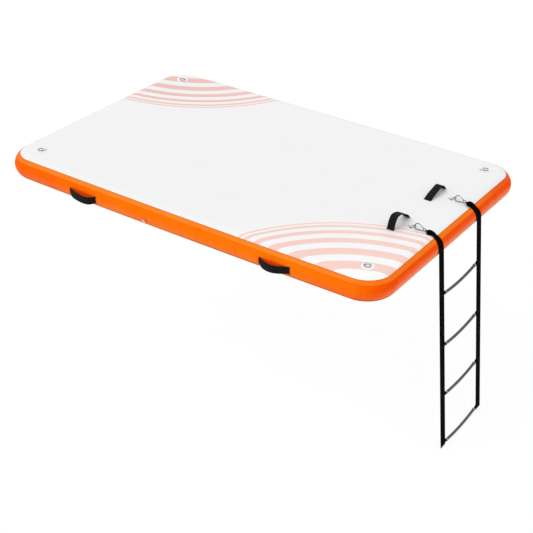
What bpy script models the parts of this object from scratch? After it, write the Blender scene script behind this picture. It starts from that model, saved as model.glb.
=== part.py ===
"""Inflatable dock platform: a floating drop-stitch deck with tie rings, carry handles and an air valve, and a
webbing ladder that is clipped to the deck at one short side.

Metres, +Z up. The origin is the centre of the flat underside. +X points to the ladder's side.
"""

import math

import bmesh
import bpy
import numpy as np
from mathutils import Matrix, Vector

# Sizes, in metres.
MM = 0.001
FIT_GAP = 0.3 * MM                      # left between pieces that touch
OVERRUN = 2 * MM                        # how far a cutter runs past what it cuts
WELD = 0.002 * MM                       # points nearer than this are one point
SHARP_ANGLE = 35.0                      # edges that fold more than this stay sharp

DECK_LENGTH = 2743 * MM
DECK_WIDTH = 1820 * MM
DECK_THICKNESS = 160 * MM
CORNER_RADIUS = 193 * MM
SIDE_BULGE = 90 * MM                    # from the flat deck's edge out to the sidewall's widest line
SIDE_BOW = 12 * MM                      # how far pressure bows each long side out at its middle
SKIN_GAUGE = 1.2 * MM
SEAM_ANGLE = 56.0                       # of the visible seam, up round the shoulder from mid height
TAPE_ANGLE = 22.0                       # how far the seam tape runs down from the seam
SKIN_LAP_ANGLE = 10.0                   # how far the skins run on beneath the tape
TAPE_GAUGE = 1.0 * MM

JOINT_PATCH_INSET = 321.5 * MM          # from the deck's end, where the sidewall's strip is joined
JOINT_PATCH_WIDTH = 45 * MM

WEB_GAUGE = 3 * MM
DECK_HANDLE_LENGTH = 205 * MM
DECK_HANDLE_WIDTH = 48 * MM
DECK_HANDLE_RISE = 55 * MM
DECK_HANDLE_FOOT = 20 * MM
DECK_HANDLE_INSET = 277.5 * MM          # of its middle from the deck's end
SIDE_HANDLE_LENGTH = 208 * MM
SIDE_HANDLE_WIDTH = 44 * MM
SIDE_HANDLE_RISE = 50 * MM
SIDE_HANDLE_FOOT = 22 * MM
SIDE_HANDLE_INSET = 671.5 * MM
SIDE_HANDLE_Z = 66 * MM
ARCH_POWER = 2.3                        # how square the handles' arches are: 2 is an ellipse
MITRE_SHARE = 0.75                      # the least share of the gauge that a bend keeps

RING_WIRE = 4 * MM                      # tie ring: wire thickness
RING_WIDTH = 38 * MM                    # between the wire's middles, along the bar
RING_REACH = 30 * MM                    # from the bar's middle to the bow's
RING_CORNER = 3 * MM                    # bend where the bar turns into the bow
RING_SHOULDER = 7 * MM                  # from the bar's middle to where the bow starts to curve
PATCH_RADIUS = 40 * MM
PATCH_GAUGE = 1.5 * MM
TAB_WIDTH = 20 * MM
TAB_LENGTH = 24 * MM
TAB_GAUGE = 1.5 * MM
RING_CLEARANCE = 0.3 * MM               # between the bar and its webbing tab
CORNER_RING_END_INSET = 174.5 * MM      # of the patch's middle from the deck's end
CORNER_RING_SIDE_INSET = 172 * MM       # and from its side

ANCHOR_OFFSET = 20 * MM                 # tie rings, hooks and handles sit this far past the middle line
LADDER_OFFSET = 47 * MM                 # and the ladder itself this far
LADDER_SPACING = 490 * MM               # between the middles of the two rails
LADDER_RING_LEFT_INSET = 194.5 * MM     # of the ring's bar from the deck's end, on the ladder's -Y side
LADDER_RING_RIGHT_INSET = 165.5 * MM
LADDER_RING_SHIFT = 18.5 * MM           # half of what the rings are nearer to each other than the rails
LADDER_RING_TILT = 20.0                 # how far the hook pulls the ring up from the deck
DECK_HANDLE_SPACING = 455 * MM
LADDER_LEAN = 6.8                       # degrees out from straight down, as it hangs
RAIL_WIDTH = 60 * MM
SWING_DROP = 30 * MM                    # from where the rail leaves the sidewall down to its swing line
FIRST_RUNG_DROP = 284 * MM              # from the swing line to the top rung
RUNG_PITCH = 348 * MM
RUNG_COUNT = 4
RAIL_TAIL = 15 * MM                     # of rail below the last rung
FOLD_DROP = 17 * MM                     # from a rung's middle to the fold line under it
RUNG_DIAMETER = 18 * MM
RUNG_WALL = 2.5 * MM
RUNG_SAG = 12 * MM
RUNG_END_INSET = 20 * MM                # from the rail's inner edge to the tube's end
RUNG_WEB_HEIGHT = 28 * MM               # of the rung's webbing where it is sewn to the rail
RUNG_CORE_HEIGHT = 11.6 * MM            # of the same webbing inside the tube
RUNG_WEB_GAP = 4 * MM                   # from the rung webbing's end to the rail's outer edge
STRAP_CLEARANCE = 0.6 * MM              # between the strap and the skin that it passes over
LOOP_WIDTH = 6 * MM                     # the strap's folded end, where it holds the hook's eye
LOOP_CLEARANCE = 1.5 * MM
LOOP_GAUGE = 2.2 * MM
STRAP_SPREAD = 14 * MM                  # from the loop to where the strap has its full width
STRAP_LEVEL_SHARES = (0.65, 0.9)        # of the twist from the hook's lie to level, taken on the way
STRAP_DRIFT_POWER = 1.5                 # how early the strap takes its side step from hook to rail

HOOK_LENGTH = 68 * MM                   # snap hook: outer length without its eye
HOOK_WIDTH = 40 * MM                    # outer width at the wide end
HOOK_NECK_WIDTH = 22 * MM               # outer width at the narrow end
HOOK_ROD = 6 * MM
HOOK_EYE_RADIUS = 8.5 * MM              # to the middle of the eye's rod
HOOK_EYE_ROD = 5 * MM
HOOK_ROLL = 55.0                        # how far the hook lies over on its long axis
HOOK_SKEW = 9 * MM                      # of the hook's eye towards -Y from its ring's middle
RING_PLAY = 2 * MM                      # between the ring's bow and the hook's wide end
EYE_HEIGHT = 14 * MM                    # of the eye's far end over the deck
NOSE_GAP = 0.4 * MM                     # between the gate's tip and the hook's nose
GATE_ROD = 5 * MM
GATE_START = 1.5 * MM                   # of the gate's tip from where the hook's straight side starts
GATE_TONGUE = 2.4 * MM
TONGUE_SHARE = 0.8                      # of the knuckle's width
FORK_CHEEK = 2.4 * MM
FORK_LENGTH = 9.5 * MM
PIN_DIAMETER = 2.2 * MM
PIN_CLEARANCE = 0.2 * MM

VALVE_X = -212 * MM
VALVE_Z = 58 * MM
VALVE_DIAMETER = 40 * MM
VALVE_PROUD = 5 * MM                    # how far its rim stands out from the sidewall
CAP_DIAMETER = 31 * MM
CAP_DEPTH = 5 * MM
CAP_DOME = 3 * MM
CAP_FLAT_SHARE = 0.7                    # of the cap's radius and of its dome, where the dome turns down
GRIP_LENGTH = 22 * MM
GRIP_WIDTH = 8 * MM
GRIP_HEIGHT = 3 * MM
GRIP_TURN = 45.0
STEM_DIAMETER = 7 * MM
STEM_DISC_DIAMETER = 15 * MM
STEM_DISC_GAUGE = 2.5 * MM
STEM_TRAVEL = 5 * MM
VALVE_WALL = 3 * MM
VALVE_SKIRT = 10 * MM                   # of the body past the open disc

# Places that follow the deck's size.
JOINT_PATCH_X = DECK_LENGTH / 2 - JOINT_PATCH_INSET
DECK_HANDLE_X = DECK_LENGTH / 2 - DECK_HANDLE_INSET
SIDE_HANDLE_X = DECK_LENGTH / 2 - SIDE_HANDLE_INSET
CORNER_RING_X = DECK_LENGTH / 2 - CORNER_RING_END_INSET
CORNER_RING_Y = DECK_WIDTH / 2 - CORNER_RING_SIDE_INSET
LADDER_RING_SPACING = LADDER_SPACING - 2 * LADDER_RING_SHIFT
LADDER_RING_LEFT_X = DECK_LENGTH / 2 - LADDER_RING_LEFT_INSET
LADDER_RING_RIGHT_X = DECK_LENGTH / 2 - LADDER_RING_RIGHT_INSET

# Each look: base colour, roughness, metallic.
COLOURS = {
    "deck_white": ((0.88, 0.89, 0.90), 0.55, 0.0),
    "side_orange": ((0.93, 0.17, 0.01), 0.45, 0.0),
    "core_grey": ((0.62, 0.62, 0.60), 0.8, 0.0),
    "webbing_black": ((0.02, 0.02, 0.022), 0.8, 0.0),
    "tube_grey": ((0.09, 0.09, 0.095), 0.55, 0.0),
    "steel": ((0.62, 0.62, 0.63), 0.25, 1.0),
    "valve_white": ((0.8, 0.8, 0.78), 0.4, 0.0),
}


def material(name):
    found = bpy.data.materials.get(name)
    if found:
        return found
    colour, roughness, metallic = COLOURS[name]
    made = bpy.data.materials.new(name)
    made.use_nodes = True
    shader = made.node_tree.nodes["Principled BSDF"]
    shader.inputs["Base Color"].default_value = (*colour, 1.0)
    shader.inputs["Roughness"].default_value = roughness
    shader.inputs["Metallic"].default_value = metallic
    return made


def add_object(name, mesh, looks, place=None):
    made = bpy.data.objects.new(name, mesh)
    bpy.context.collection.objects.link(made)
    if looks and not mesh.materials:
        mesh.materials.append(material(looks))
    if place is not None:
        made.matrix_world = place
    return made


def finish_mesh(name, points, faces):
    """A closed mesh from points and faces, its faces turned outwards and its round parts shaded smooth."""
    mesh = bpy.data.meshes.new(name)
    mesh.from_pydata([tuple(p) for p in points], [], faces)
    work = bmesh.new()
    work.from_mesh(mesh)
    bmesh.ops.recalc_face_normals(work, faces=work.faces)
    if work.calc_volume(signed=True) < 0:
        bmesh.ops.reverse_faces(work, faces=work.faces)
    work.to_mesh(mesh)
    work.free()
    mesh.shade_smooth()
    mesh.set_sharp_from_angle(angle=math.radians(SHARP_ANGLE))
    return mesh


def loft(name, rings, closed=False):
    """Joins rings of equal count one after another; an open loft gets a flat cap at each end."""
    count = len(rings[0])
    points = [p for ring in rings for p in ring]
    faces = []
    pairs = len(rings) if closed else len(rings) - 1
    for i in range(pairs):
        a, b = i * count, ((i + 1) % len(rings)) * count
        for j in range(count):
            k = (j + 1) % count
            faces.append((a + j, a + k, b + k, b + j))
    if not closed:
        faces.append(tuple(range(count)))
        faces.append(tuple(reversed(range((len(rings) - 1) * count, len(rings) * count))))
    return finish_mesh(name, points, faces)


def turned(name, profile, segments, closed=False):
    """A profile of (radius, height) turned about Z; an open profile starts and ends on the axis."""
    points, rings, faces = [], [], []
    for radius, height in profile:
        if radius == 0:
            rings.append([len(points)])
            points.append((0, 0, height))
        else:
            rings.append(list(range(len(points), len(points) + segments)))
            for j in range(segments):
                turn = 2 * math.pi * j / segments
                points.append((radius * math.cos(turn), radius * math.sin(turn), height))
    pairs = list(zip(rings, rings[1:]))
    if closed:
        pairs.append((rings[-1], rings[0]))
    for a, b in pairs:
        for j in range(segments):
            k = (j + 1) % segments
            if len(a) == 1:
                faces.append((a[0], b[k], b[j]))
            elif len(b) == 1:
                faces.append((a[j], a[k], b[0]))
            else:
                faces.append((a[j], a[k], b[k], b[j]))
    return finish_mesh(name, points, faces)


def swept_rod(name, path, radius, normal, sides=10, closed=False):
    """A round rod along a path that lies in the plane square to normal."""
    normal = Vector(normal).normalized()
    path = [Vector(p) for p in path]
    rings = []
    for i, point in enumerate(path):
        before = path[i - 1] if (i or closed) else point
        after = path[(i + 1) % len(path)] if (i < len(path) - 1 or closed) else point
        ahead = (after - before).normalized()
        side = normal.cross(ahead).normalized()
        rings.append([
            point + radius * (math.cos(t) * side + math.sin(t) * normal)
            for t in (2 * math.pi * (j + 0.5) / sides for j in range(sides))
        ])
    return loft(name, rings, closed)


def extruded(name, outline, low, high):
    """An outline of (x, z) points extruded along Y."""
    return loft(name, [[(x, low, z) for x, z in outline], [(x, high, z) for x, z in outline]])


def rod_mesh(name, start, end, radius, sides=12):
    start, end = Vector(start), Vector(end)
    ahead = (end - start).normalized()
    side = ahead.orthogonal().normalized()
    return swept_rod(name, [start, end], radius, ahead.cross(side), sides)


def block_mesh(name, low, high):
    (x0, y0, z0), (x1, y1, z1) = low, high
    return loft(name, [[(x0, y0, z), (x1, y0, z), (x1, y1, z), (x0, y1, z)] for z in (z0, z1)])


def combined(mesh, tool, operation):
    """Unites a mesh with a tool mesh or cuts the tool from it, and returns the result."""
    base = add_object("base", mesh, None)
    other = add_object("tool", tool, None)
    step = base.modifiers.new("step", "BOOLEAN")
    step.operation, step.object, step.solver = operation, other, "EXACT"
    seen = base.evaluated_get(bpy.context.evaluated_depsgraph_get())
    made = bpy.data.meshes.new_from_object(seen)
    made.name = mesh.name
    bpy.data.objects.remove(base)
    bpy.data.objects.remove(other)
    work = bmesh.new()
    work.from_mesh(made)
    bmesh.ops.remove_doubles(work, verts=work.verts, dist=WELD)
    bmesh.ops.dissolve_degenerate(work, edges=work.edges, dist=WELD)
    work.to_mesh(made)
    work.free()
    made.shade_smooth()
    made.set_sharp_from_angle(angle=math.radians(SHARP_ANGLE))
    return made


def frame_matrix(origin, x_axis, z_axis):
    """A placement with its X axis along x_axis and its Z axis as near z_axis as that allows."""
    x_axis = Vector(x_axis).normalized()
    y_axis = Vector(z_axis).cross(x_axis).normalized()
    z_axis = x_axis.cross(y_axis)
    made = Matrix((x_axis, y_axis, z_axis)).transposed().to_4x4()
    made.translation = Vector(origin)
    return made


CORNER_STEPS = 8
LONG_SIDE_STEPS = 6
SHORT_SIDE_STEPS = 2


def plan_base():
    """Points and outward normals of the widest outline, before the long sides bow."""
    half_x, half_y = DECK_LENGTH / 2, DECK_WIDTH / 2
    centre_x, centre_y = half_x - CORNER_RADIUS, half_y - CORNER_RADIUS
    points = []
    for corner, (sx, sy) in enumerate(((1, 1), (-1, 1), (-1, -1), (1, -1))):
        for i in range(CORNER_STEPS + 1):
            turn = math.radians(90 * corner + 90 * i / CORNER_STEPS)
            normal = (math.cos(turn), math.sin(turn))
            x, y = sx * centre_x + CORNER_RADIUS * normal[0], sy * centre_y + CORNER_RADIUS * normal[1]
            points.append((x, y, *normal))
        along_long = corner % 2 == 0
        steps = LONG_SIDE_STEPS if along_long else SHORT_SIDE_STEPS
        for i in range(1, steps):
            share = 1 - 2 * i / steps
            if along_long:
                points.append((sx * centre_x * share, sy * half_y, 0, sy))
            else:
                points.append((sx * half_x, sy * centre_y * share, sx, 0))
    return points


PLAN = plan_base()


def plan_ring(angle, out):
    """The outline on the shell at an angle round the shoulder, out from the outer surface by so much."""
    turn = math.radians(angle)
    inset = SIDE_BULGE - (SIDE_BULGE + out) * math.cos(turn)
    z = DECK_THICKNESS / 2 + (DECK_THICKNESS / 2 + out) * math.sin(turn)
    ring = []
    for x, y, nx, ny in PLAN:
        bow = SIDE_BOW * (1 - (2 * x / DECK_LENGTH) ** 2) * ny
        ring.append((x - nx * inset, y - ny * inset + bow, z))
    return ring


def wall_out(z, out=0.0):
    """How far the sidewall stands out from the flat deck's edge at a height, out from its outer surface."""
    lift = (z - DECK_THICKNESS / 2) / (DECK_THICKNESS / 2 + out)
    return (SIDE_BULGE + out) * math.sqrt(max(0.0, 1 - lift * lift))


def side_y(x, z, out=0.0):
    """The y of the long side's surface, on the +Y side."""
    return DECK_WIDTH / 2 - SIDE_BULGE + SIDE_BOW * (1 - (2 * x / DECK_LENGTH) ** 2) + wall_out(z, out)


TAPE_LOW_ANGLE = SEAM_ANGLE - TAPE_ANGLE
SKIN_EDGE_ANGLE = SEAM_ANGLE - SKIN_LAP_ANGLE
BUTT_ANGLE = math.degrees(FIT_GAP / (DECK_THICKNESS / 2))
TOP_ANGLE = 90.0
UPPER_ANGLES = [
    TOP_ANGLE, (TOP_ANGLE + SEAM_ANGLE) / 2, SEAM_ANGLE, SKIN_EDGE_ANGLE,
    TAPE_LOW_ANGLE, TAPE_LOW_ANGLE / 2, 0.0,
]


def shell_rings(angles, out):
    return [plan_ring(angle, out) for angle in angles]


def build_chamber():
    """The drop-stitch core, the two skins, the sidewall and the two seam tapes, each outside the last."""
    all_angles = UPPER_ANGLES + [-a for a in reversed(UPPER_ANGLES[:-1])]
    core = loft("drop_stitch_core", shell_rings(all_angles, -SKIN_GAUGE - FIT_GAP))
    skin_angles = UPPER_ANGLES[:3] + [SKIN_EDGE_ANGLE]
    for name, side, looks in (("deck_skin", 1, "deck_white"), ("base_skin", -1, "deck_white")):
        angles = [side * a for a in skin_angles]
        rings = shell_rings(angles, 0.0) + shell_rings(angles[::-1], -SKIN_GAUGE)
        add_object(name, loft(name, rings), looks)
    wall_angles = [SKIN_EDGE_ANGLE - BUTT_ANGLE] + UPPER_ANGLES[4:]
    wall_angles = wall_angles + [-a for a in reversed(wall_angles[:-1])]
    wall = loft("sidewall", shell_rings(wall_angles, 0.0) + shell_rings(wall_angles[::-1], -SKIN_GAUGE), True)
    for name, side in (("deck_seam_tape", 1), ("base_seam_tape", -1)):
        angles = [side * a for a in UPPER_ANGLES[2:5]]
        rings = shell_rings(angles, FIT_GAP + TAPE_GAUGE) + shell_rings(angles[::-1], FIT_GAP)
        add_object(name, loft(name, rings, True), "side_orange")
    return core, wall


def build_joint_patch():
    """The strip that covers the join in the sidewall, between the two tapes."""
    top = TAPE_LOW_ANGLE - BUTT_ANGLE - math.degrees(TAPE_GAUGE / (DECK_THICKNESS / 2))
    angles = [top, TAPE_LOW_ANGLE / 2, 0.0, -TAPE_LOW_ANGLE / 2, -top]
    heights = [DECK_THICKNESS / 2 * (1 + math.sin(math.radians(a))) for a in angles]
    rings = []
    for x in (JOINT_PATCH_X - JOINT_PATCH_WIDTH / 2, JOINT_PATCH_X + JOINT_PATCH_WIDTH / 2):
        outer = [(x, -side_y(x, z) - FIT_GAP - TAPE_GAUGE, z) for z in heights]
        inner = [(x, -side_y(x, z) - FIT_GAP, z) for z in heights[::-1]]
        rings.append(outer + inner)
    add_object("sidewall_joint_patch", loft("sidewall_joint_patch", rings), "side_orange")


def valve_frame():
    """The valve's place on the near long side: Z points out of the sidewall."""
    lift = (VALVE_Z - DECK_THICKNESS / 2) / (DECK_THICKNESS / 2)
    normal = (0, -math.sqrt(1 - lift * lift) / SIDE_BULGE, lift / (DECK_THICKNESS / 2))
    return frame_matrix((VALVE_X, -side_y(VALVE_X, VALVE_Z), VALVE_Z), (1, 0, 0), normal)


def build_valve(core, wall):
    place = valve_frame()
    outer = VALVE_DIAMETER / 2
    cap, floor = CAP_DIAMETER / 2, VALVE_PROUD - CAP_DEPTH
    rear = floor - VALVE_WALL - FIT_GAP - STEM_DISC_GAUGE - STEM_TRAVEL - VALVE_SKIRT
    bore = STEM_DIAMETER / 2 + FIT_GAP
    chamber = STEM_DISC_DIAMETER / 2 + VALVE_WALL / 2
    body = turned("valve_body", [
        (bore, floor), (cap + FIT_GAP, floor), (cap + FIT_GAP, VALVE_PROUD), (outer, VALVE_PROUD),
        (outer, rear), (chamber, rear), (chamber, floor - VALVE_WALL), (bore, floor - VALVE_WALL),
    ], 24, closed=True)
    add_object("valve_body", body, "side_orange", place)

    head = floor + CAP_DEPTH / 2
    seat = floor - VALVE_WALL - FIT_GAP
    disc = STEM_DISC_DIAMETER / 2
    stem = turned("valve_stem", [
        (0, head), (STEM_DIAMETER / 2, head), (STEM_DIAMETER / 2, seat), (disc, seat),
        (disc, seat - STEM_DISC_GAUGE), (0, seat - STEM_DISC_GAUGE),
    ], 16)
    add_object("valve_stem", stem, "valve_white", place)

    under, crown = floor + FIT_GAP, VALVE_PROUD + FIT_GAP
    hollow = STEM_DIAMETER
    lid = turned("valve_cap", [
        (0, head + FIT_GAP), (hollow, head + FIT_GAP), (hollow, under), (cap, under), (cap, crown),
        (cap * CAP_FLAT_SHARE, crown + CAP_DOME * CAP_FLAT_SHARE), (0, crown + CAP_DOME),
    ], 24)
    grip = block_mesh("grip", (-GRIP_LENGTH / 2, -GRIP_WIDTH / 2, crown - CAP_DOME / 2),
                      (GRIP_LENGTH / 2, GRIP_WIDTH / 2, crown + GRIP_HEIGHT + CAP_DOME / 2))
    grip.transform(Matrix.Rotation(math.radians(GRIP_TURN), 4, "Z"))
    add_object("valve_cap", combined(lid, grip, "UNION"), "side_orange", place)

    def pocket():
        made = turned("pocket", [
            (0, CAP_DIAMETER), (outer + FIT_GAP, CAP_DIAMETER),
            (outer + FIT_GAP, rear - FIT_GAP), (0, rear - FIT_GAP),
        ], 24)
        made.transform(place)
        return made

    add_object("drop_stitch_core", combined(core, pocket(), "DIFFERENCE"), "core_grey")
    add_object("sidewall", combined(wall, pocket(), "DIFFERENCE"), "side_orange")


ARCH_STEPS = 14


def arch_curves(length, foot, rise, gauge):
    """A handle's run from end to end: its inner and outer line as (along, lift) points, flat at both feet."""
    half = length / 2 - foot
    middle = [(-length / 2, 0.0), (-half, 0.0)]
    for i in range(1, ARCH_STEPS):
        turn = math.pi * (1 - i / ARCH_STEPS)
        along = math.copysign(abs(math.cos(turn)) ** (2 / ARCH_POWER), math.cos(turn))
        middle.append((half * along, rise * math.sin(turn) ** (2 / ARCH_POWER)))
    middle += [(half, 0.0), (length / 2, 0.0)]
    inner, outer = [], []
    for i, (along, lift) in enumerate(middle):
        before = Vector(middle[max(i - 1, 0)])
        here = Vector((along, lift))
        after = Vector(middle[min(i + 1, len(middle) - 1)])
        first = (here - before) if i else (after - here)
        last = (after - here) if i < len(middle) - 1 else (here - before)
        mean = (first.normalized() + last.normalized()).normalized()
        widen = 1 / max(mean.dot(first.normalized()), MITRE_SHARE)
        normal = Vector((-mean.y, mean.x)) * gauge / 2 * widen
        inner.append(here - normal)
        outer.append(here + normal)
    return inner, outer


def build_deck_handles():
    inner, outer = arch_curves(DECK_HANDLE_LENGTH, DECK_HANDLE_FOOT, DECK_HANDLE_RISE, WEB_GAUGE)
    base = DECK_THICKNESS + FIT_GAP + WEB_GAUGE / 2
    for name, side in (("deck_handle_left", -1), ("deck_handle_right", 1)):
        middle = ANCHOR_OFFSET + side * DECK_HANDLE_SPACING / 2
        rings = []
        for low, high in zip(inner, outer):
            rings.append([
                (DECK_HANDLE_X - DECK_HANDLE_WIDTH / 2, middle + low.x, base + low.y),
                (DECK_HANDLE_X + DECK_HANDLE_WIDTH / 2, middle + low.x, base + low.y),
                (DECK_HANDLE_X + DECK_HANDLE_WIDTH / 2, middle + high.x, base + high.y),
                (DECK_HANDLE_X - DECK_HANDLE_WIDTH / 2, middle + high.x, base + high.y),
            ])
        add_object(name, loft(name, rings), "webbing_black")


ACROSS_STEPS = 4


def build_side_handles():
    """Handles whose feet follow the sidewall's curve and whose middle stands off it."""
    inner, outer = arch_curves(SIDE_HANDLE_LENGTH, SIDE_HANDLE_FOOT, SIDE_HANDLE_RISE, WEB_GAUGE)
    across = [SIDE_HANDLE_WIDTH * (i / ACROSS_STEPS - 0.5) for i in range(ACROSS_STEPS + 1)]

    def line(middle, side, point, order):
        flat = min(max(point.y / SIDE_HANDLE_RISE, 0.0), 1.0)
        made = []
        for v in order:
            x = middle + point.x
            curved, level = side_y(x, SIDE_HANDLE_Z + v), side_y(x, SIDE_HANDLE_Z)
            out = curved + (level - curved) * flat + FIT_GAP + WEB_GAUGE / 2 + point.y
            made.append((x, side * out, SIDE_HANDLE_Z + v))
        return made

    number = 0
    for side in (-1, 1):
        for middle in (-SIDE_HANDLE_X, SIDE_HANDLE_X):
            number += 1
            name = f"side_handle_{number}"
            rings = [line(middle, side, low, across) + line(middle, side, high, across[::-1])
                     for low, high in zip(inner, outer)]
            add_object(name, loft(name, rings), "webbing_black")


TAB_OUTER = RING_WIRE / 2 + RING_CLEARANCE + TAB_GAUGE
BAR_HEIGHT = PATCH_GAUGE + TAB_OUTER - TAB_GAUGE / 8
BAR_SETBACK = RING_REACH / 2


def ring_mesh():
    """A D-shaped ring: the bar lies along Y through the origin and the bow reaches to +X."""
    half, turn_in = RING_WIDTH / 2, RING_CORNER
    path = [(0, 0), (0, half - turn_in)]
    path.append((turn_in * (1 - math.sqrt(0.5)), half - turn_in * (1 - math.sqrt(0.5))))
    path.append((turn_in, half))
    for i in range(7):
        turn = math.radians(90 - 30 * i)
        path.append((RING_SHOULDER + (RING_REACH - RING_SHOULDER) * math.cos(turn), half * math.sin(turn)))
    path += [(x, -y) for x, y in reversed(path[1:4])]
    return swept_rod("tie_ring", [(x, y, 0) for x, y in path], RING_WIRE / 2, (0, 0, 1), 8, True)


def ring_base_mesh():
    """A round patch with a webbing tab whose loop holds the ring's bar."""
    disc = turned("ring_base", [
        (0, 0), (PATCH_RADIUS, 0), (PATCH_RADIUS - PATCH_GAUGE, PATCH_GAUGE), (0, PATCH_GAUGE)
    ], 24)
    strip = block_mesh("strip", (-BAR_SETBACK - TAB_LENGTH, -TAB_WIDTH / 2, PATCH_GAUGE / 2),
                       (-BAR_SETBACK, TAB_WIDTH / 2, PATCH_GAUGE + TAB_GAUGE))
    disc = combined(disc, strip, "UNION")
    bar, end = Vector((-BAR_SETBACK, 0, BAR_HEIGHT)), Vector((0, TAB_WIDTH / 2, 0))
    past = Vector((0, OVERRUN, 0))
    disc = combined(disc, rod_mesh("loop", bar - end, bar + end, TAB_OUTER, 14), "UNION")
    bore = rod_mesh("bore", bar - end - past, bar + end + past, RING_WIRE / 2 + RING_CLEARANCE, 14)
    return combined(disc, bore, "DIFFERENCE")


def ring_place(base, tilt):
    return base @ Matrix.Translation((-BAR_SETBACK, 0, BAR_HEIGHT)) @ Matrix.Rotation(-tilt, 4, "Y")


def build_corner_rings(ring, base):
    bow_height = PATCH_GAUGE + FIT_GAP + RING_WIRE / 2
    tilt = -math.asin((BAR_HEIGHT - bow_height) / RING_REACH)
    number = 0
    for sx, sy in ((1, -1), (1, 1), (-1, 1), (-1, -1)):
        number += 1
        seat = (sx * CORNER_RING_X, sy * CORNER_RING_Y, DECK_THICKNESS + FIT_GAP)
        place = frame_matrix(seat, (sx, sy, 0), (0, 0, 1))
        add_object(f"corner_patch_{number}", base, "deck_white", place)
        add_object(f"corner_ring_{number}", ring, "steel", ring_place(place, tilt))


HOOK_HALF = (HOOK_WIDTH - HOOK_ROD) / 2
NECK_HALF = (HOOK_NECK_WIDTH - HOOK_ROD) / 2
HOOK_RUN = HOOK_LENGTH - HOOK_ROD
HOOK_TAPER = math.asin((HOOK_HALF - NECK_HALF) / (HOOK_RUN - HOOK_HALF - NECK_HALF))
EYE_X = HOOK_RUN + HOOK_EYE_RADIUS - HOOK_EYE_ROD / 5
EYE_END = EYE_X + HOOK_EYE_RADIUS
FORK_REACH = HOOK_ROD / 2


def arc(centre, radius, start, end, steps):
    return [
        (centre[0] + radius * math.cos(t), centre[1] + radius * math.sin(t), 0)
        for t in (start + (end - start) * i / steps for i in range(steps + 1))
    ]


def gate_line():
    """The gate side's straight run: its start on the wide end, its direction and its length."""
    slope = Vector((math.sin(HOOK_TAPER), math.cos(HOOK_TAPER), 0))
    start = Vector((HOOK_HALF, 0, 0)) + HOOK_HALF * slope
    end = Vector((HOOK_RUN - NECK_HALF, 0, 0)) + NECK_HALF * slope
    return start, (end - start).normalized(), (end - start).length


def gate_frame():
    """Along the gate side's run, with the origin on the hinge pin and X pointing away from the gate."""
    start, ahead, length = gate_line()
    return frame_matrix(start + ahead * (length - FORK_LENGTH + FORK_REACH), ahead, (0, 0, 1))


def hook_mesh():
    """Wide end towards the origin, narrow end and eye towards +X, gate on the +Y side."""
    start, ahead, length = gate_line()
    quarter = math.pi / 2
    path = [tuple(start + ahead * (GATE_START - NOSE_GAP))]
    path += arc((HOOK_HALF, 0), HOOK_HALF, quarter - HOOK_TAPER, 3 * quarter + HOOK_TAPER, 12)
    path += arc((HOOK_RUN - NECK_HALF, 0), NECK_HALF, -quarter + HOOK_TAPER, quarter - HOOK_TAPER, 6)
    path.append(tuple(start + ahead * (length - PIN_DIAMETER)))
    body = swept_rod("snap_hook", path, HOOK_ROD / 2, (0, 0, 1), 10)
    around = arc((EYE_X, 0), HOOK_EYE_RADIUS, 0, 2 * math.pi, 14)[:-1]
    eye = swept_rod("eye", around, HOOK_EYE_ROD / 2, (0, 0, 1), 8, True)
    body = combined(body, eye, "UNION")
    place = gate_frame()
    half, slot = HOOK_ROD / 2, GATE_TONGUE / 2 + FIT_GAP
    tall = slot + FORK_CHEEK
    fork = block_mesh("fork", (-FORK_REACH, -half, -tall), (FORK_LENGTH - FORK_REACH, half, tall))
    fork.transform(place)
    body = combined(body, fork, "UNION")
    gap = block_mesh("slot", (-FORK_REACH - OVERRUN, -HOOK_ROD, -slot),
                     (FORK_REACH + FIT_GAP, HOOK_ROD, slot))
    gap.transform(place)
    body = combined(body, gap, "DIFFERENCE")
    pin = rod_mesh("pin", (0, 0, -tall + FIT_GAP), (0, 0, tall - FIT_GAP), PIN_DIAMETER / 2, 10)
    pin.transform(place)
    return combined(body, pin, "UNION")


def gate_mesh():
    """The gate, with its origin on the pin: a rod, a flat tongue and an eye for the pin."""
    _, _, length = gate_line()
    reach = length - FORK_LENGTH + FORK_REACH - GATE_START
    root = FORK_REACH + GATE_ROD / 2
    rod = rod_mesh("snap_gate", (-reach, 0, 0), (-root, 0, 0), GATE_ROD / 2, 10)
    eye_radius = FORK_REACH - FIT_GAP
    tongue = block_mesh("tongue", (-root - GATE_ROD / 2, -eye_radius * TONGUE_SHARE, -GATE_TONGUE / 2),
                        (0, eye_radius * TONGUE_SHARE, GATE_TONGUE / 2))
    rod = combined(rod, tongue, "UNION")
    knuckle = rod_mesh("knuckle", (0, 0, -GATE_TONGUE / 2), (0, 0, GATE_TONGUE / 2), eye_radius, 12)
    rod = combined(rod, knuckle, "UNION")
    bore = rod_mesh("bore", (0, 0, -GATE_TONGUE), (0, 0, GATE_TONGUE), PIN_DIAMETER / 2 + PIN_CLEARANCE, 10)
    return combined(rod, bore, "DIFFERENCE")


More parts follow.
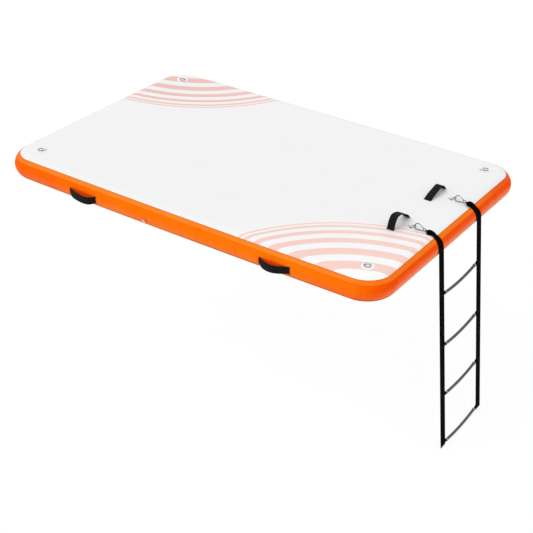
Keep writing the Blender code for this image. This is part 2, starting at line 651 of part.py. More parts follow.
def anchor_places(side):
    """The ring base's place, the ring's and the hook's; the ring pulls in line with the hook's wide end."""
    x = LADDER_RING_LEFT_X if side < 0 else LADDER_RING_RIGHT_X
    y = ANCHOR_OFFSET + side * LADDER_RING_SPACING / 2
    base = Matrix.Translation((x + BAR_SETBACK, y, DECK_THICKNESS + FIT_GAP))
    ring = ring_place(base, math.radians(LADDER_RING_TILT))
    middle = ring @ Vector((RING_REACH - RING_WIRE / 2 - RING_PLAY + HOOK_HALF - HOOK_ROD / 2, 0, 0))
    run = EYE_END - HOOK_HALF
    skew = math.asin(HOOK_SKEW / run)
    dip = math.asin((middle.z - DECK_THICKNESS - EYE_HEIGHT) / run)
    ahead = Vector((math.cos(skew), -math.sin(skew), -math.tan(dip))).normalized()
    roll = Matrix.Rotation(math.radians(HOOK_ROLL), 4, "X")
    hook = frame_matrix(middle - ahead * HOOK_HALF, ahead, (0, 0, 1)) @ roll
    return base, ring, hook


def rail_line():
    """Where a rail leaves the sidewall, and the direction in which it hangs."""
    lean = math.radians(LADDER_LEAN)
    wide, tall = SIDE_BULGE + STRAP_OUT, DECK_THICKNESS / 2 + STRAP_OUT
    turn = math.atan(tall / wide * math.tan(lean))
    x, z = DECK_LENGTH / 2 - SIDE_BULGE + wide * math.cos(turn), DECK_THICKNESS / 2 + tall * math.sin(turn)
    leave = Vector((x, 0, z))
    return leave, Vector((math.sin(lean), 0, -math.cos(lean))), turn


STRAP_OUT = FIT_GAP + TAPE_GAUGE + STRAP_CLEARANCE + WEB_GAUGE / 2
SHOULDER_STEPS = 8


def strap_path(full, y):
    """A taut strap's middle line: straight to the shoulder, round it and down, drifting aside to the rail."""
    leave, down, turn = rail_line()
    wide, tall = SIDE_BULGE + STRAP_OUT, DECK_THICKNESS / 2 + STRAP_OUT
    centre = Vector((DECK_LENGTH / 2 - SIDE_BULGE, 0, DECK_THICKNESS / 2))
    out, up = (full.x - centre.x) / wide, (full.z - centre.z) / tall
    start = math.atan2(up, out) - math.acos(min(1.0, 1 / math.hypot(out, up)))
    path = [full.copy()]
    for i in range(SHOULDER_STEPS + 1):
        t = start + (turn - start) * i / SHOULDER_STEPS
        path.append(centre + Vector((wide * math.cos(t), 0, tall * math.sin(t))))
    path.insert(1, path[0].lerp(path[1], 0.5) + Vector((0, 0, WEB_GAUGE / 2)))
    path.append(leave + down * (SWING_DROP - WEB_GAUGE / 2 - FIT_GAP))
    runs = [0.0]
    for before, after in zip(path, path[1:]):
        runs.append(runs[-1] + math.hypot(after.x - before.x, after.z - before.z))
    for point, run in zip(path, runs):
        point.y = y + (full.y - y) * (1 - run / runs[-1]) ** STRAP_DRIFT_POWER
    return path


def build_shoulder_strap(name, side, hook):
    """The strap from the hook's eye over the deck's shoulder to the swing line, with its folded end loop."""
    eye = hook @ Vector((EYE_END, 0, 0))
    ahead, across = (hook.to_3x3() @ Vector(axis) for axis in ((1, 0, 0), (0, 1, 0)))
    level = Vector((0, 1, 0))
    bore = HOOK_EYE_ROD / 2 + LOOP_CLEARANCE
    shell = bore + LOOP_GAUGE
    stations = [(eye + ahead * (bore + LOOP_GAUGE / 2), across, LOOP_WIDTH, 2 * LOOP_GAUGE)]
    path = strap_path(eye + ahead * (shell + STRAP_SPREAD), LADDER_OFFSET + side * LADDER_SPACING / 2)
    crosses = [across.lerp(level, share).normalized() for share in STRAP_LEVEL_SHARES]
    crosses += [level] * (len(path) - len(crosses))
    stations += [(centre, cross, RAIL_WIDTH, WEB_GAUGE) for centre, cross in zip(path, crosses)]
    rings = []
    for i, (centre, cross, width, gauge) in enumerate(stations):
        before, after = stations[max(i - 1, 0)][0], stations[min(i + 1, len(stations) - 1)][0]
        onward = ahead if i == 0 else (after - before)
        normal = onward.cross(cross).normalized()
        w, g = cross * width / 2, normal * gauge / 2
        rings.append([centre - w - g, centre + w - g, centre + w + g, centre - w + g])
    strap = loft(name, rings)
    loop = rod_mesh("loop", eye - across * LOOP_WIDTH / 2, eye + across * LOOP_WIDTH / 2, shell, 14)
    strap = combined(strap, loop, "UNION")
    past = across * (LOOP_WIDTH / 2 + OVERRUN)
    hole = rod_mesh("hole", eye - past, eye + past, bore, 14)
    add_object(name, combined(strap, hole, "DIFFERENCE"), "webbing_black")


def build_anchorage(ring, base):
    hook_shape, gate_shape = hook_mesh(), gate_mesh()
    for word, side in (("left", -1), ("right", 1)):
        base_place, place, hook = anchor_places(side)
        add_object(f"ladder_patch_{word}", base, "deck_white", base_place)
        add_object(f"ladder_ring_{word}", ring, "steel", place)
        add_object(f"snap_hook_{word}", hook_shape, "steel", hook)
        add_object(f"snap_gate_{word}", gate_shape, "steel", hook @ gate_frame())
        build_shoulder_strap(f"shoulder_strap_{word}", side, hook)


def fold_line(number):
    """How far down the rails the hinge line at the top of a section lies, counted from the swing line."""
    if number == 0:
        return 0.0
    return FIRST_RUNG_DROP + (number - 1) * RUNG_PITCH + FOLD_DROP


def section_frame(number):
    """A section's own frame: the origin on its hinge line, Z up along the rails, X away from the dock."""
    leave, down, _ = rail_line()
    origin = leave + down * (SWING_DROP + fold_line(number)) + Vector((0, LADDER_OFFSET, 0))
    return frame_matrix(origin, (-down.z, 0, down.x), -down)


def build_rails(number, place):
    """The two rails of one section: round at the hinge line, flat above the next one."""
    half = WEB_GAUGE / 2
    drop = fold_line(number + 1) - fold_line(number) - half - FIT_GAP
    if number == RUNG_COUNT - 1:
        drop += half + FIT_GAP - FOLD_DROP + RAIL_TAIL
    outline = [(half * math.cos(t), half * math.sin(t)) for t in (math.pi * i / 4 for i in range(5))]
    outline += [(-half, -drop), (half, -drop)]
    for word, side in (("left", -1), ("right", 1)):
        middle = side * LADDER_SPACING / 2
        name = f"rail_{number + 1}_{word}"
        rail = extruded(name, outline, middle - RAIL_WIDTH / 2, middle + RAIL_WIDTH / 2)
        add_object(name, rail, "webbing_black", place)


RUNG_STEPS = 8
RUNG_SIDES = 12


def build_rung(number, place):
    """A sagging tube on a band of webbing, whose spread ends are sewn to the backs of the rails."""
    middle = -(FIRST_RUNG_DROP + number * RUNG_PITCH - fold_line(number))
    back = -WEB_GAUGE - FIT_GAP
    rail_edge = LADDER_SPACING / 2 - RAIL_WIDTH / 2
    half = rail_edge - RUNG_END_INSET
    runs = [half * (2 * i / RUNG_STEPS - 1) for i in range(RUNG_STEPS + 1)]

    def height(y):
        return middle - RUNG_SAG * (1 - (y / half) ** 2)

    def circle(y, radius):
        return [(back + radius * math.cos(t), y, height(y) + radius * math.sin(t))
                for t in (2 * math.pi * j / RUNG_SIDES for j in range(RUNG_SIDES))]

    outer = [circle(y, RUNG_DIAMETER / 2) for y in runs]
    inner = [circle(y, RUNG_DIAMETER / 2 - RUNG_WALL) for y in reversed(runs)]
    name = f"rung_{number + 1}"
    add_object(name, loft(name, outer + inner, True), "tube_grey", place)

    def band(y, z, tall):
        g = WEB_GAUGE / 2
        low, high = z - tall / 2, z + tall / 2
        return [(back - g, y, low), (back + g, y, low), (back + g, y, high), (back - g, y, high)]

    ends = [(rail_edge + RAIL_WIDTH - RUNG_WEB_GAP, RUNG_WEB_HEIGHT), (rail_edge, RUNG_WEB_HEIGHT),
            (half + FIT_GAP, RUNG_CORE_HEIGHT)]
    stations = [band(-y, middle, tall) for y, tall in ends]
    stations += [band(y, height(y), RUNG_CORE_HEIGHT) for y in runs]
    stations += [band(y, middle, tall) for y, tall in reversed(ends)]
    name = f"rung_strap_{number + 1}"
    add_object(name, loft(name, stations), "webbing_black", place)


def build_ladder():
    for number in range(RUNG_COUNT):
        place = section_frame(number)
        build_rails(number, place)
        build_rung(number, place)


def main():
    for old in list(bpy.data.objects):
        bpy.data.objects.remove(old)
    core, wall = build_chamber()
    build_joint_patch()
    build_valve(core, wall)
    build_deck_handles()
    build_side_handles()
    ring, base = ring_mesh(), ring_base_mesh()
    build_corner_rings(ring, base)
    build_anchorage(ring, base)
    build_ladder()


main()
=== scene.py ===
"""Inflatable dock platform, dressed for its picture.

Coated deck and sidewall, seam tapes, webbing, ribbed rungs, steel and valve. Metres, +Z up, in the frame of
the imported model. +X points to the ladder's side.
"""

import math

import bmesh
import bpy
import numpy as np
from mathutils import Matrix, Vector


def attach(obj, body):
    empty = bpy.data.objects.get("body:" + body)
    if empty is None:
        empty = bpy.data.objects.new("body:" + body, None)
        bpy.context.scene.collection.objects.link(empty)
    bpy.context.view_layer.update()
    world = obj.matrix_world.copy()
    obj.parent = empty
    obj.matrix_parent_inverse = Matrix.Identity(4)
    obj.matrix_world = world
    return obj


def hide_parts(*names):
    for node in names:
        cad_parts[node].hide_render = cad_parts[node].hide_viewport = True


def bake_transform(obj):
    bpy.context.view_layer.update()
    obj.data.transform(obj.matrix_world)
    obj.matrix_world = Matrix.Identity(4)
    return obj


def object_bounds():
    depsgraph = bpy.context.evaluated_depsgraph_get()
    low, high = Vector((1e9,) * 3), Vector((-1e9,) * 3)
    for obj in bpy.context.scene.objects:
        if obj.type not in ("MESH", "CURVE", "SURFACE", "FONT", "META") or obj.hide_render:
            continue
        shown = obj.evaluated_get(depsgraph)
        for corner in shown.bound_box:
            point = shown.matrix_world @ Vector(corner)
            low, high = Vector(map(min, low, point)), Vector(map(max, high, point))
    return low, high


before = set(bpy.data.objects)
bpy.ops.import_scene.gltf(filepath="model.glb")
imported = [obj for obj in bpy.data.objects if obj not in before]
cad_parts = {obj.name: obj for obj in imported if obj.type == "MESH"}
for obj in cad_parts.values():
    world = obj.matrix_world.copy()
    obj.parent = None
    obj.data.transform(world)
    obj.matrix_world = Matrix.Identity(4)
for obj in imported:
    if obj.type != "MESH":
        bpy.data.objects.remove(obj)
cad_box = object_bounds()

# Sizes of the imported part, in metres and degrees.
MM = 0.001
FIT_GAP = 0.3 * MM                      # left between pieces that touch

DECK_LENGTH = 2743 * MM
DECK_WIDTH = 1820 * MM
DECK_THICKNESS = 160 * MM
CORNER_RADIUS = 193 * MM
SIDE_BULGE = 90 * MM                    # from the flat deck's edge out to the sidewall's widest line
SIDE_BOW = 12 * MM                      # how far each long side bows out at its middle
SKIN_GAUGE = 1.2 * MM
SKIN_EDGE_ANGLE = 46.0                  # where the skins end, up round the shoulder from mid height
SEAM_ANGLE = 56.0                       # where the seam tape starts
TAPE_LOW_ANGLE = 34.0                   # and where it ends
TAPE_GAUGE = 1.0 * MM
JOINT_PATCH_X = 1050 * MM
JOINT_PATCH_WIDTH = 45 * MM

WEB_GAUGE = 3 * MM
DECK_HANDLE_WIDTH = 48 * MM
DECK_HANDLE_X = 1094 * MM
DECK_HANDLE_SPACING = 455 * MM
SIDE_HANDLE_LENGTH = 208 * MM
SIDE_HANDLE_WIDTH = 44 * MM
SIDE_HANDLE_X = 700 * MM
SIDE_HANDLE_Z = 66 * MM

RING_WIRE = 4 * MM                      # tie ring: wire thickness
RING_WIDTH = 38 * MM                    # between the wire's middles, along the bar
RING_REACH = 30 * MM                    # from the bar's middle to the bow's
RING_CORNER = 3 * MM                    # bend where the bar turns into the bow
RING_SHOULDER = 7 * MM                  # from the bar's middle to where the bow starts to curve
RING_CLEARANCE = 0.3 * MM               # between the bar and its webbing tab
PATCH_RADIUS = 40 * MM
PATCH_GAUGE = 1.5 * MM
TAB_WIDTH = 20 * MM
TAB_LENGTH = 24 * MM
TAB_GAUGE = 1.5 * MM
BAR_HEIGHT = PATCH_GAUGE + RING_WIRE / 2 + RING_CLEARANCE + TAB_GAUGE * 7 / 8
BAR_SETBACK = RING_REACH / 2            # of the bar from the patch's middle
CORNER_RING_X = 1197 * MM
CORNER_RING_Y = 738 * MM

ANCHOR_OFFSET = 20 * MM                 # tie rings, hooks and handles sit this far past the middle line
LADDER_OFFSET = 47 * MM                 # and the ladder itself this far
LADDER_SPACING = 490 * MM               # between the middles of the two rails
LADDER_RING_SPACING = 453 * MM
LADDER_RING_LEFT_X = 1177 * MM
LADDER_RING_RIGHT_X = 1206 * MM
LADDER_RING_TILT = 20.0                 # how far the hook pulls the ring up from the deck
LADDER_LEAN = 6.8                       # out from straight down, as it hangs
RAIL_WIDTH = 60 * MM
SWING_DROP = 30 * MM                    # from where the rail leaves the sidewall down to its swing line
RAIL_TAIL = 15 * MM                     # of rail below the last rung
FOLD_DROP = 17 * MM                     # from a rung's middle to the fold line under it
FIRST_RUNG_DROP = 284 * MM
RUNG_PITCH = 348 * MM
RUNG_COUNT = 4
RUNG_DIAMETER = 18 * MM
RUNG_SAG = 12 * MM
RUNG_END_INSET = 20 * MM                # from the rail's inner edge to the tube's end
RUNG_CORE_HEIGHT = 11.6 * MM            # of the webbing inside the tube
RUNG_WEDGE_HEIGHT = 34 * MM             # of the webbing where it is sewn to the rail
RUNG_WEB_INSET = 10 * MM                # of its ends from the rail's outer edge

STRAP_CLEARANCE = 0.6 * MM              # between a shoulder strap and what it passes over
STRAP_OUT = FIT_GAP + TAPE_GAUGE + STRAP_CLEARANCE + WEB_GAUGE / 2      # of its middle line
SHOULDER = Vector((DECK_LENGTH / 2 - SIDE_BULGE, 0, DECK_THICKNESS / 2))    # middle of its turn round the end
SHOULDER_WIDE = SIDE_BULGE + STRAP_OUT
SHOULDER_TALL = DECK_THICKNESS / 2 + STRAP_OUT
STRAP_SPREAD = 14 * MM                  # over which the strap widens from its folded loop
STRAP_DRIFT_POWER = 1.5                 # how early the strap takes its side step from hook to rail
LOOP_GAUGE = 2.2 * MM
LOOP_CLEARANCE = 1.5 * MM
LOOP_WIDTH = 6 * MM
HOOK_LENGTH = 68 * MM
HOOK_WIDTH = 40 * MM
HOOK_ROD = 6 * MM
HOOK_EYE_RADIUS = 8.5 * MM
HOOK_EYE_ROD = 5 * MM
HOOK_ROLL = 55.0
HOOK_SKEW = 9 * MM                      # of the hook's eye towards -Y from its ring's middle
RING_PLAY = 2 * MM                      # between the hook's nose and the ring's bow
EYE_HEIGHT = 14 * MM                    # of the hook's eye over the deck

VALVE_X = -212 * MM
VALVE_Z = 58 * MM
VALVE_PROUD = 5 * MM
CAP_DIAMETER = 31 * MM
CAP_DEPTH = 5 * MM
CAP_DOME = 3 * MM
GRIP_LENGTH = 22 * MM
GRIP_WIDTH = 8 * MM
GRIP_HEIGHT = 3 * MM
GRIP_TURN = -45.0

# Trim that only the dressed part has.
TAPE_WIDTH = 32.6 * MM                  # round the shoulder, from the tape's upper edge to its lower
SHEET_UNDER = 0.15 * MM                 # how far a welded sheet's underside stands off the sidewall
TAPE_PROUD = 0.6 * MM                   # and how far the tapes' outsides do
TAPE_ROLL = 0.4 * MM                    # height of each step of their rolled edges
JOINT_PATCH_PROUD = 0.8 * MM
HANDLE_PATCH_PROUD = 0.6 * MM
HANDLE_PATCH_MARGINS = 30 * MM, 9 * MM  # of a patch beyond the side handle's ends and edges
SIDE_WEB_WIDTH = SIDE_HANDLE_WIDTH + 3 * MM
SIDE_WEB_RISE = 7 * MM                  # of the side handles' webbing over the middle of their patches
SIDE_WEB_TILT = 5 * MM                  # how far its lower edge stands out beyond its upper one
SIDE_FLAT_LIFT = 12 * MM                # off the wall, where the webbing is flat across
SIDE_TILT_LIFT = 22 * MM                # and where it has its full tilt
SIDE_DROOP_RUN = 90 * MM                # from the middle to where it droops in full
JOINT_PATCH_SHORT = 1.5                 # degrees between the joint cover's ends and the tapes
TACK_MARGIN = 4 * MM                    # of a handle's stitches from the webbing's edges
TACK_ROWS = 2.5 * MM, 5 * MM            # and from its end
TAB_FOLD_GAP = 0.1 * MM                 # between the two layers of a ring's tab
TAB_TACK = 2.5 * MM, 3 * MM, 9 * MM     # its sewn box: in from its edges, from its end, and how long
STITCH_PITCH = 3.4 * MM
STRAP_NARROW = 0.58                     # width of the strap near its loop, as a share of the rail's
STRAP_OPENS = 0.9                       # share of the way to the swing line where it is at full width
STRAP_EDGE_SHARE = 0.9                  # of the narrowing that comes off its -Y edge
STRAP_EDGE_RUN = 0.12                   # share of the way over which it moves aside for that
STRAP_LEVEL, STRAP_LEVEL_STEP = 0.6, 0.07   # share of its turn to level at full width, and added per point
STRAP_STEPS = (0.2, 0.45), (0.5, 0.82)  # shares of the way and of the width, from its loop to full width
THREAD_LIFT = 0.3 * MM                  # of the straps' stitches off their undersides
COLLAR_INSET = 3 * MM                   # of a collar's middle from the tube's end
COLLAR_SECTION = (                      # from the tube's outside and along it, in mm
    (-0.5, -4), (1.3, -4), (1.7, -3.5), (1.7, 3.5), (1.3, 4), (-0.5, 4),
)
RUNG_TACK = 14 * MM, 8 * MM             # half of the sewn box where a rung's webbing crosses a rail
ROD_SIDES = 16
CAP_RIB_DEPTH = 1.2 * MM                # of the grip ribs round the valve cap's rim
CAP_RIB_PITCH = 2.7 * MM
CAP_RIB_SIZE = 0.8 * MM, 1.0 * MM, 2.9 * MM     # half of a rib along the rim, out of it and upwards
CAP_ROOM = 7 * MM                       # radius of the cap's hollow for the stem
BEND_REACH = 16 * MM                    # of a bend in the webbing, to each side of its line
STEEL_CELL, STEEL_ROUNDS = 0.45 * MM, 10    # how finely the cast and moulded pieces are rounded
HOUSING_CELL, HOUSING_ROUNDS = 0.5 * MM, 4

SIDES = ("left", -1), ("right", 1)      # of the ladder and the deck handles, each with its sign of y

# The camera, from the fit to the photograph.
CAMERA_PLACE = Vector((3.91351, -5.89916, 3.59549))
CAMERA_AZIMUTH, CAMERA_ELEVATION, CAMERA_ROLL = 33.165, 30.773, 1.868
CAMERA_LENS, CAMERA_SENSOR = 83.97, 36.0


def added(name, data):
    """A new object in the scene."""
    made = bpy.data.objects.new(name, data)
    bpy.context.collection.objects.link(made)
    return made


def set_camera():
    """The photograph's camera, which looks at the part from its near side."""
    turn, rise, roll = (math.radians(a) for a in (CAMERA_AZIMUTH, CAMERA_ELEVATION, CAMERA_ROLL))
    back = Vector((math.sin(turn) * math.cos(rise), -math.cos(turn) * math.cos(rise), math.sin(rise)))
    right = Vector((math.cos(turn), math.sin(turn), 0))
    up = back.cross(right)
    across = math.cos(roll) * right + math.sin(roll) * up
    above = -math.sin(roll) * right + math.cos(roll) * up
    data = bpy.data.cameras.new("camera")
    data.lens, data.sensor_width, data.sensor_height = CAMERA_LENS, CAMERA_SENSOR, CAMERA_SENSOR
    data.clip_end = 100
    camera = added("camera", data)
    place = Matrix((across, above, back)).transposed().to_4x4()
    place.translation = CAMERA_PLACE
    camera.matrix_world = place
    bpy.context.scene.camera = camera


# Node trees.
def add_node(tree, kind, feeds=(), **settings):
    """A node with its settings and feeds: (input, value or another node's output) pairs."""
    node = tree.nodes.new(kind)
    for key, value in settings.items():
        setattr(node, key, value)
    for key, value in dict(feeds).items():
        socket = node.inputs[key]
        if isinstance(value, bpy.types.NodeSocket):
            tree.links.new(value, socket)
        else:
            socket.default_value = value
    return node


class Finish:
    """A material in the making: its shader, its coordinates and short ways to add sums, mixes and noise."""

    def __init__(self, name, roughness, metallic=0.0, **sockets):
        self.material = bpy.data.materials.new(name)
        self.material.use_nodes = True
        self.tree = self.material.node_tree
        self.shader = self.tree.nodes["Principled BSDF"]
        self.shader.inputs["Roughness"].default_value = roughness
        self.shader.inputs["Metallic"].default_value = metallic
        for key, value in sockets.items():
            self.shader.inputs[key.replace("_", " ")].default_value = value
        coordinates = add_node(self.tree, "ShaderNodeTexCoord").outputs
        self.place, self.lengths = coordinates["Object"], coordinates["UV"]

    def sum(self, operation, a, b=0.0, c=0.0):
        feeds = [(0, a), (1, b), (2, c)]
        return add_node(self.tree, "ShaderNodeMath", feeds, operation=operation).outputs[0]

    def split(self, vector):
        """A place's x, y and z, or a length's across and along."""
        return add_node(self.tree, "ShaderNodeSeparateXYZ", [(0, vector)]).outputs

    def stretched(self, vector, scale):
        feeds = [("Vector", vector), ("Scale", scale)]
        return add_node(self.tree, "ShaderNodeMapping", feeds).outputs[0]

    def noise(self, vector, scale, detail=3.0, rough=0.5):
        feeds = [("Vector", vector), ("Scale", scale), ("Detail", detail), ("Roughness", rough)]
        return add_node(self.tree, "ShaderNodeTexNoise", feeds).outputs[0]

    def spread(self, value, low, high, to_low=0.0, to_high=1.0):
        """A value between two levels, spread evenly from the one number to the other and held past them."""
        feeds = [(0, value), (1, low), (2, high), (3, to_low), (4, to_high)]
        return add_node(self.tree, "ShaderNodeMapRange", feeds).outputs[0]

    def mix(self, share, a, b, blend="MIX"):
        a, b = ((*c, 1.0) if isinstance(c, tuple) else c for c in (a, b))
        feeds = [(0, share), (6, a), (7, b)]
        return add_node(self.tree, "ShaderNodeMix", feeds, data_type="RGBA", blend_type=blend).outputs[2]

    def away(self, value, middle):
        """How far a length is from a middle, to either side."""
        return self.sum("ABSOLUTE", self.sum("SUBTRACT", value, middle))

    def wave(self, value, pitch):
        """A sine between 0 and 1 along a length."""
        turns = self.sum("MULTIPLY", value, 2 * math.pi / pitch)
        return self.sum("MULTIPLY_ADD", self.sum("SINE", turns), 0.5, 0.5)

    def weave(self, a, b, pitch):
        """Two waves crossed at one pitch."""
        return self.sum("MULTIPLY", self.wave(a, pitch), self.wave(b, pitch))

    def bumps(self, *layers):
        """A relief of one or more layers over each other: the height, depth and strength of each."""
        normal = None
        for height, distance, strength in layers:
            feeds = [("Height", height), ("Distance", distance), ("Strength", strength)]
            feeds += [("Normal", normal)] if normal else []
            normal = add_node(self.tree, "ShaderNodeBump", feeds).outputs[0]
        return normal

    def done(self, colour, roughness, normal):
        """Leads the given values into the shader; None keeps the shader's own."""
        for key, value in (("Base Color", colour), ("Roughness", roughness), ("Normal", normal)):
            if value is not None:
                self.tree.links.new(value, self.shader.inputs[key])
        return self.material


# Colours and the places where they change.
WHITE_SHEET, WHITE_SHADE = (0.86, 0.86, 0.86), (0.85, 0.85, 0.853)
WHITE_CORNER_LIGHT = (0.93, 0.93, 0.93)       # painted light, paler towards the ladder's near corner,
CORNER_FROM, CORNER_FULL = 1.1, 2.0     # by how far x is past y
SIDE_TONES_WITH_PAINTED_LIGHT = (  # place along the deck, the sheet's colour from mid height up, deepened towards the ends by painted shade, and its paler colour low down, a painted reflection of the floor
    (-1370 * MM, (0.93, 0.115, 0.002), (0.93, 0.150, 0.055)),
    (-1100 * MM, (0.96, 0.130, 0.001), (0.96, 0.165, 0.045)),
    (-500 * MM, (1.00, 0.168, 0.001), (1.00, 0.215, 0.035)),
    (700 * MM, (1.00, 0.182, 0.001), (1.00, 0.205, 0.022)),
    (1200 * MM, (1.00, 0.165, 0.001), (1.00, 0.150, 0.016)),
    (1365 * MM, (0.98, 0.085, 0.001), (0.98, 0.140, 0.016)),
)
REFLECTION_FROM, REFLECTION_FULL = 95 * MM, 46 * MM     # heights between which the sheet pales, a painted reflection of the floor
REFLECTION_STREAKS = 24 * MM                  # how unevenly it does so
LADDER_FOOT_REFLECTION = (0.98, 0.300, 0.145)      # painted floor reflection, paler still, low down on the ladder's side,
LADDER_SIDE_X = 1300 * MM, 1360 * MM    # which comes in along the deck
LADDER_SIDE_Y = -860 * MM, -690 * MM    # and across it,
LADDER_FOOT_RISE = 13 * MM              # and reaches so much higher
SHADE_RED = (1.0, 0.075, 0.002)         # painted shade behind the side handles,
SHADE_REACH = 100 * MM, 80 * MM         # to each side of their middles
CREASE_SHADE_TINT = (0.93, 0.80, 0.8)           # painted shade along the sidewall's creases,
WELD_SHADOW_TINT = (0.9, 0.45, 0.4)            # a painted shadow line along the joint cover's edges
FAR_SHADE_TINT = (0.95, 0.55, 0.4)            # and painted shade on the tapes at the left end and the far side
WELD_EDGE = 2.2 * MM, 1.6 * MM          # in from the joint cover's edge, where its painted shadow line runs
TAPE_EDGE_SHADE = (0.08, 0.04), (0.86, 0.91)     # where the painted shade of the tapes' rolled edges comes in, as shares of their width
TAPE_SHADE_X = 1000 * MM, 1300 * MM      # where painted shade deepens the tapes towards the deck's ends,
TAPE_LEFT_X = -1240 * MM, -1340 * MM    # at its left end
TAPE_FAR_Y = 250 * MM, 600 * MM         # and towards the far side
# The bands are one print, painted lighter at the near corner than at the far one: painted light.
STRIPE_FAR, STRIPE_NEAR = (0.815, 0.49, 0.435), (0.915, 0.62, 0.555)
STRIPE_MIDDLE = 1430 * MM, -1290 * MM   # of one corner's bands; the other's is opposite
STRIPES = (  # middle radius and width of each band
    (1070 * MM, 15 * MM), (1030 * MM, 22 * MM), (964 * MM, 38 * MM),
    (868 * MM, 52 * MM), (744 * MM, 69 * MM), (598 * MM, 84 * MM),
)
STRIPE_REACH = 1200 * MM                # beyond the outermost band


def stripe_mask(finish, x, y):
    """One over the bands of two opposite corners, zero between them."""
    ways = []
    for side in (1, -1):
        dx = finish.sum("SUBTRACT", x, side * STRIPE_MIDDLE[0])
        dy = finish.sum("SUBTRACT", y, side * STRIPE_MIDDLE[1])
        square = finish.sum("MULTIPLY_ADD", dx, dx, finish.sum("MULTIPLY", dy, dy))
        ways.append(finish.sum("SQRT", square))
    away = finish.sum("DIVIDE", finish.sum("MINIMUM", *ways), STRIPE_REACH)
    ramp = add_node(finish.tree, "ShaderNodeValToRGB", [(0, away)])
    ramp.color_ramp.interpolation = "CONSTANT"
    stops = [(0.0, 0)]
    for middle, width in reversed(STRIPES):
        stops += [((middle - width / 2) / STRIPE_REACH, 1), ((middle + width / 2) / STRIPE_REACH, 0)]
    for i, (at, level) in enumerate(stops):
        stop = ramp.color_ramp.elements[0] if i == 0 else ramp.color_ramp.elements.new(at)
        stop.position, stop.color = at, (level, level, level, 1)
    ramp.color_ramp.elements[-1].color = (0, 0, 0, 1)
    return ramp.outputs[0]


def deck_sheet():
    """White coated drop-stitch fabric: fine dimples, soft unevenness, printed bands at two corners, and
    painted light that pales the sheet and lightens the bands towards the ladder's near corner.
    """
    finish = Finish("deck_sheet", 0.5, Specular_IOR_Level=0.4)
    x, y, _ = finish.split(finish.place)
    cloudy = finish.noise(finish.place, 5.0, 4.0)
    sheet = finish.mix(finish.spread(cloudy, 0.35, 0.7), WHITE_SHEET, WHITE_SHADE)
    # Painted light: the sheet pales towards the ladder's near corner.
    corner = finish.spread(finish.sum("SUBTRACT", x, y), CORNER_FROM, CORNER_FULL)
    sheet = finish.mix(corner, sheet, WHITE_CORNER_LIGHT)
    # Painted light: the bands lighten from the far corner to the near one.
    band = finish.mix(finish.spread(x, -1.2, 1.2), STRIPE_FAR, STRIPE_NEAR)
    colour = finish.mix(stripe_mask(finish, x, y), sheet, band)
    dimples = finish.weave(x, y, 7 * MM)
    grain = finish.noise(finish.place, 420.0, 2.0)
    normal = finish.bumps((cloudy, 3 * MM, 0.12), (dimples, 0.12 * MM, 0.6), (grain, 0.05 * MM, 0.5))
    return finish.done(colour, finish.spread(grain, 0.3, 0.7, 0.42, 0.56), normal)


def tone_ramp(finish, place, colours):
    """A colour that changes smoothly from one (place, colour) to the next."""
    low, high = colours[0][0], colours[-1][0]
    ramp = add_node(finish.tree, "ShaderNodeValToRGB", [(0, finish.spread(place, low, high))])
    ramp.color_ramp.interpolation = "EASE"
    stops = ramp.color_ramp.elements
    for at, _ in colours[1:-1]:
        stops.new((at - low) / (high - low))
    for stop, (_, colour) in zip(stops, colours):
        stop.color = (*colour, 1)
    return ramp.outputs[0]


def side_sheet(name, shaded=False, joined=False):
    """Orange coated fabric: a faint weave, upright creases darkened by painted shade, a paler foot that is a
    painted reflection of the floor, and deeper tones towards the ends that are painted shade.
    """
    finish = Finish(name, 0.55, Specular_IOR_Level=0.01)
    across, along, _ = finish.split(finish.lengths)
    x, y, z = finish.split(finish.place)
    creases = finish.noise(finish.stretched(finish.place, (14.0, 14.0, 1.6)), 1.0, 3.0)
    streaks = finish.noise(finish.stretched(finish.place, (3.0, 3.0, 60.0)), 1.0, 3.0)
    # Painted shade: the sheet's colour deepens towards the deck's ends.
    upper = tone_ramp(finish, x, [(at, main) for at, main, _ in SIDE_TONES_WITH_PAINTED_LIGHT])
    # Painted reflection: the floor's light pales the sheet low down, and more so on the ladder's side.
    lower = tone_ramp(finish, x, [(at, pale) for at, _, pale in SIDE_TONES_WITH_PAINTED_LIGHT])
    ladder_side = finish.sum("MULTIPLY", finish.spread(x, *LADDER_SIDE_X), finish.spread(y, *LADDER_SIDE_Y))
    lower = finish.mix(ladder_side, lower, LADDER_FOOT_REFLECTION)
    height = finish.sum("MULTIPLY_ADD", finish.sum("SUBTRACT", streaks, 0.5), REFLECTION_STREAKS, z)
    height = finish.sum("SUBTRACT", height, finish.sum("MULTIPLY", ladder_side, LADDER_FOOT_RISE))
    colour = finish.mix(finish.spread(height, REFLECTION_FROM, REFLECTION_FULL), upper, lower)
    # Painted shade darkening the sidewall's creases.
    crease_shade = finish.mix(1.0, colour, CREASE_SHADE_TINT, "MULTIPLY")
    colour = finish.mix(finish.spread(creases, 0.52, 0.7, 0.0, 0.7), colour, crease_shade)
    # Painted shade: the patch turns redder and darker behind the side handle.
    if shaded:
        away = finish.away(finish.sum("ABSOLUTE", x), SIDE_HANDLE_X)
        colour = finish.mix(finish.spread(away, *SHADE_REACH), colour, SHADE_RED)
    # A painted shadow line along both edges of the joint cover.
    if joined:
        edge = finish.spread(finish.away(x, JOINT_PATCH_X), *(JOINT_PATCH_WIDTH / 2 - d for d in WELD_EDGE))
        colour = finish.mix(edge, colour, WELD_SHADOW_TINT, "MULTIPLY")
    threads = finish.weave(across, along, 1.6 * MM)
    normal = finish.bumps((creases, 3 * MM, 0.35), (threads, 0.06 * MM, 0.6))
    return finish.done(colour, finish.spread(creases, 0.3, 0.7, 0.4, 0.52), normal)


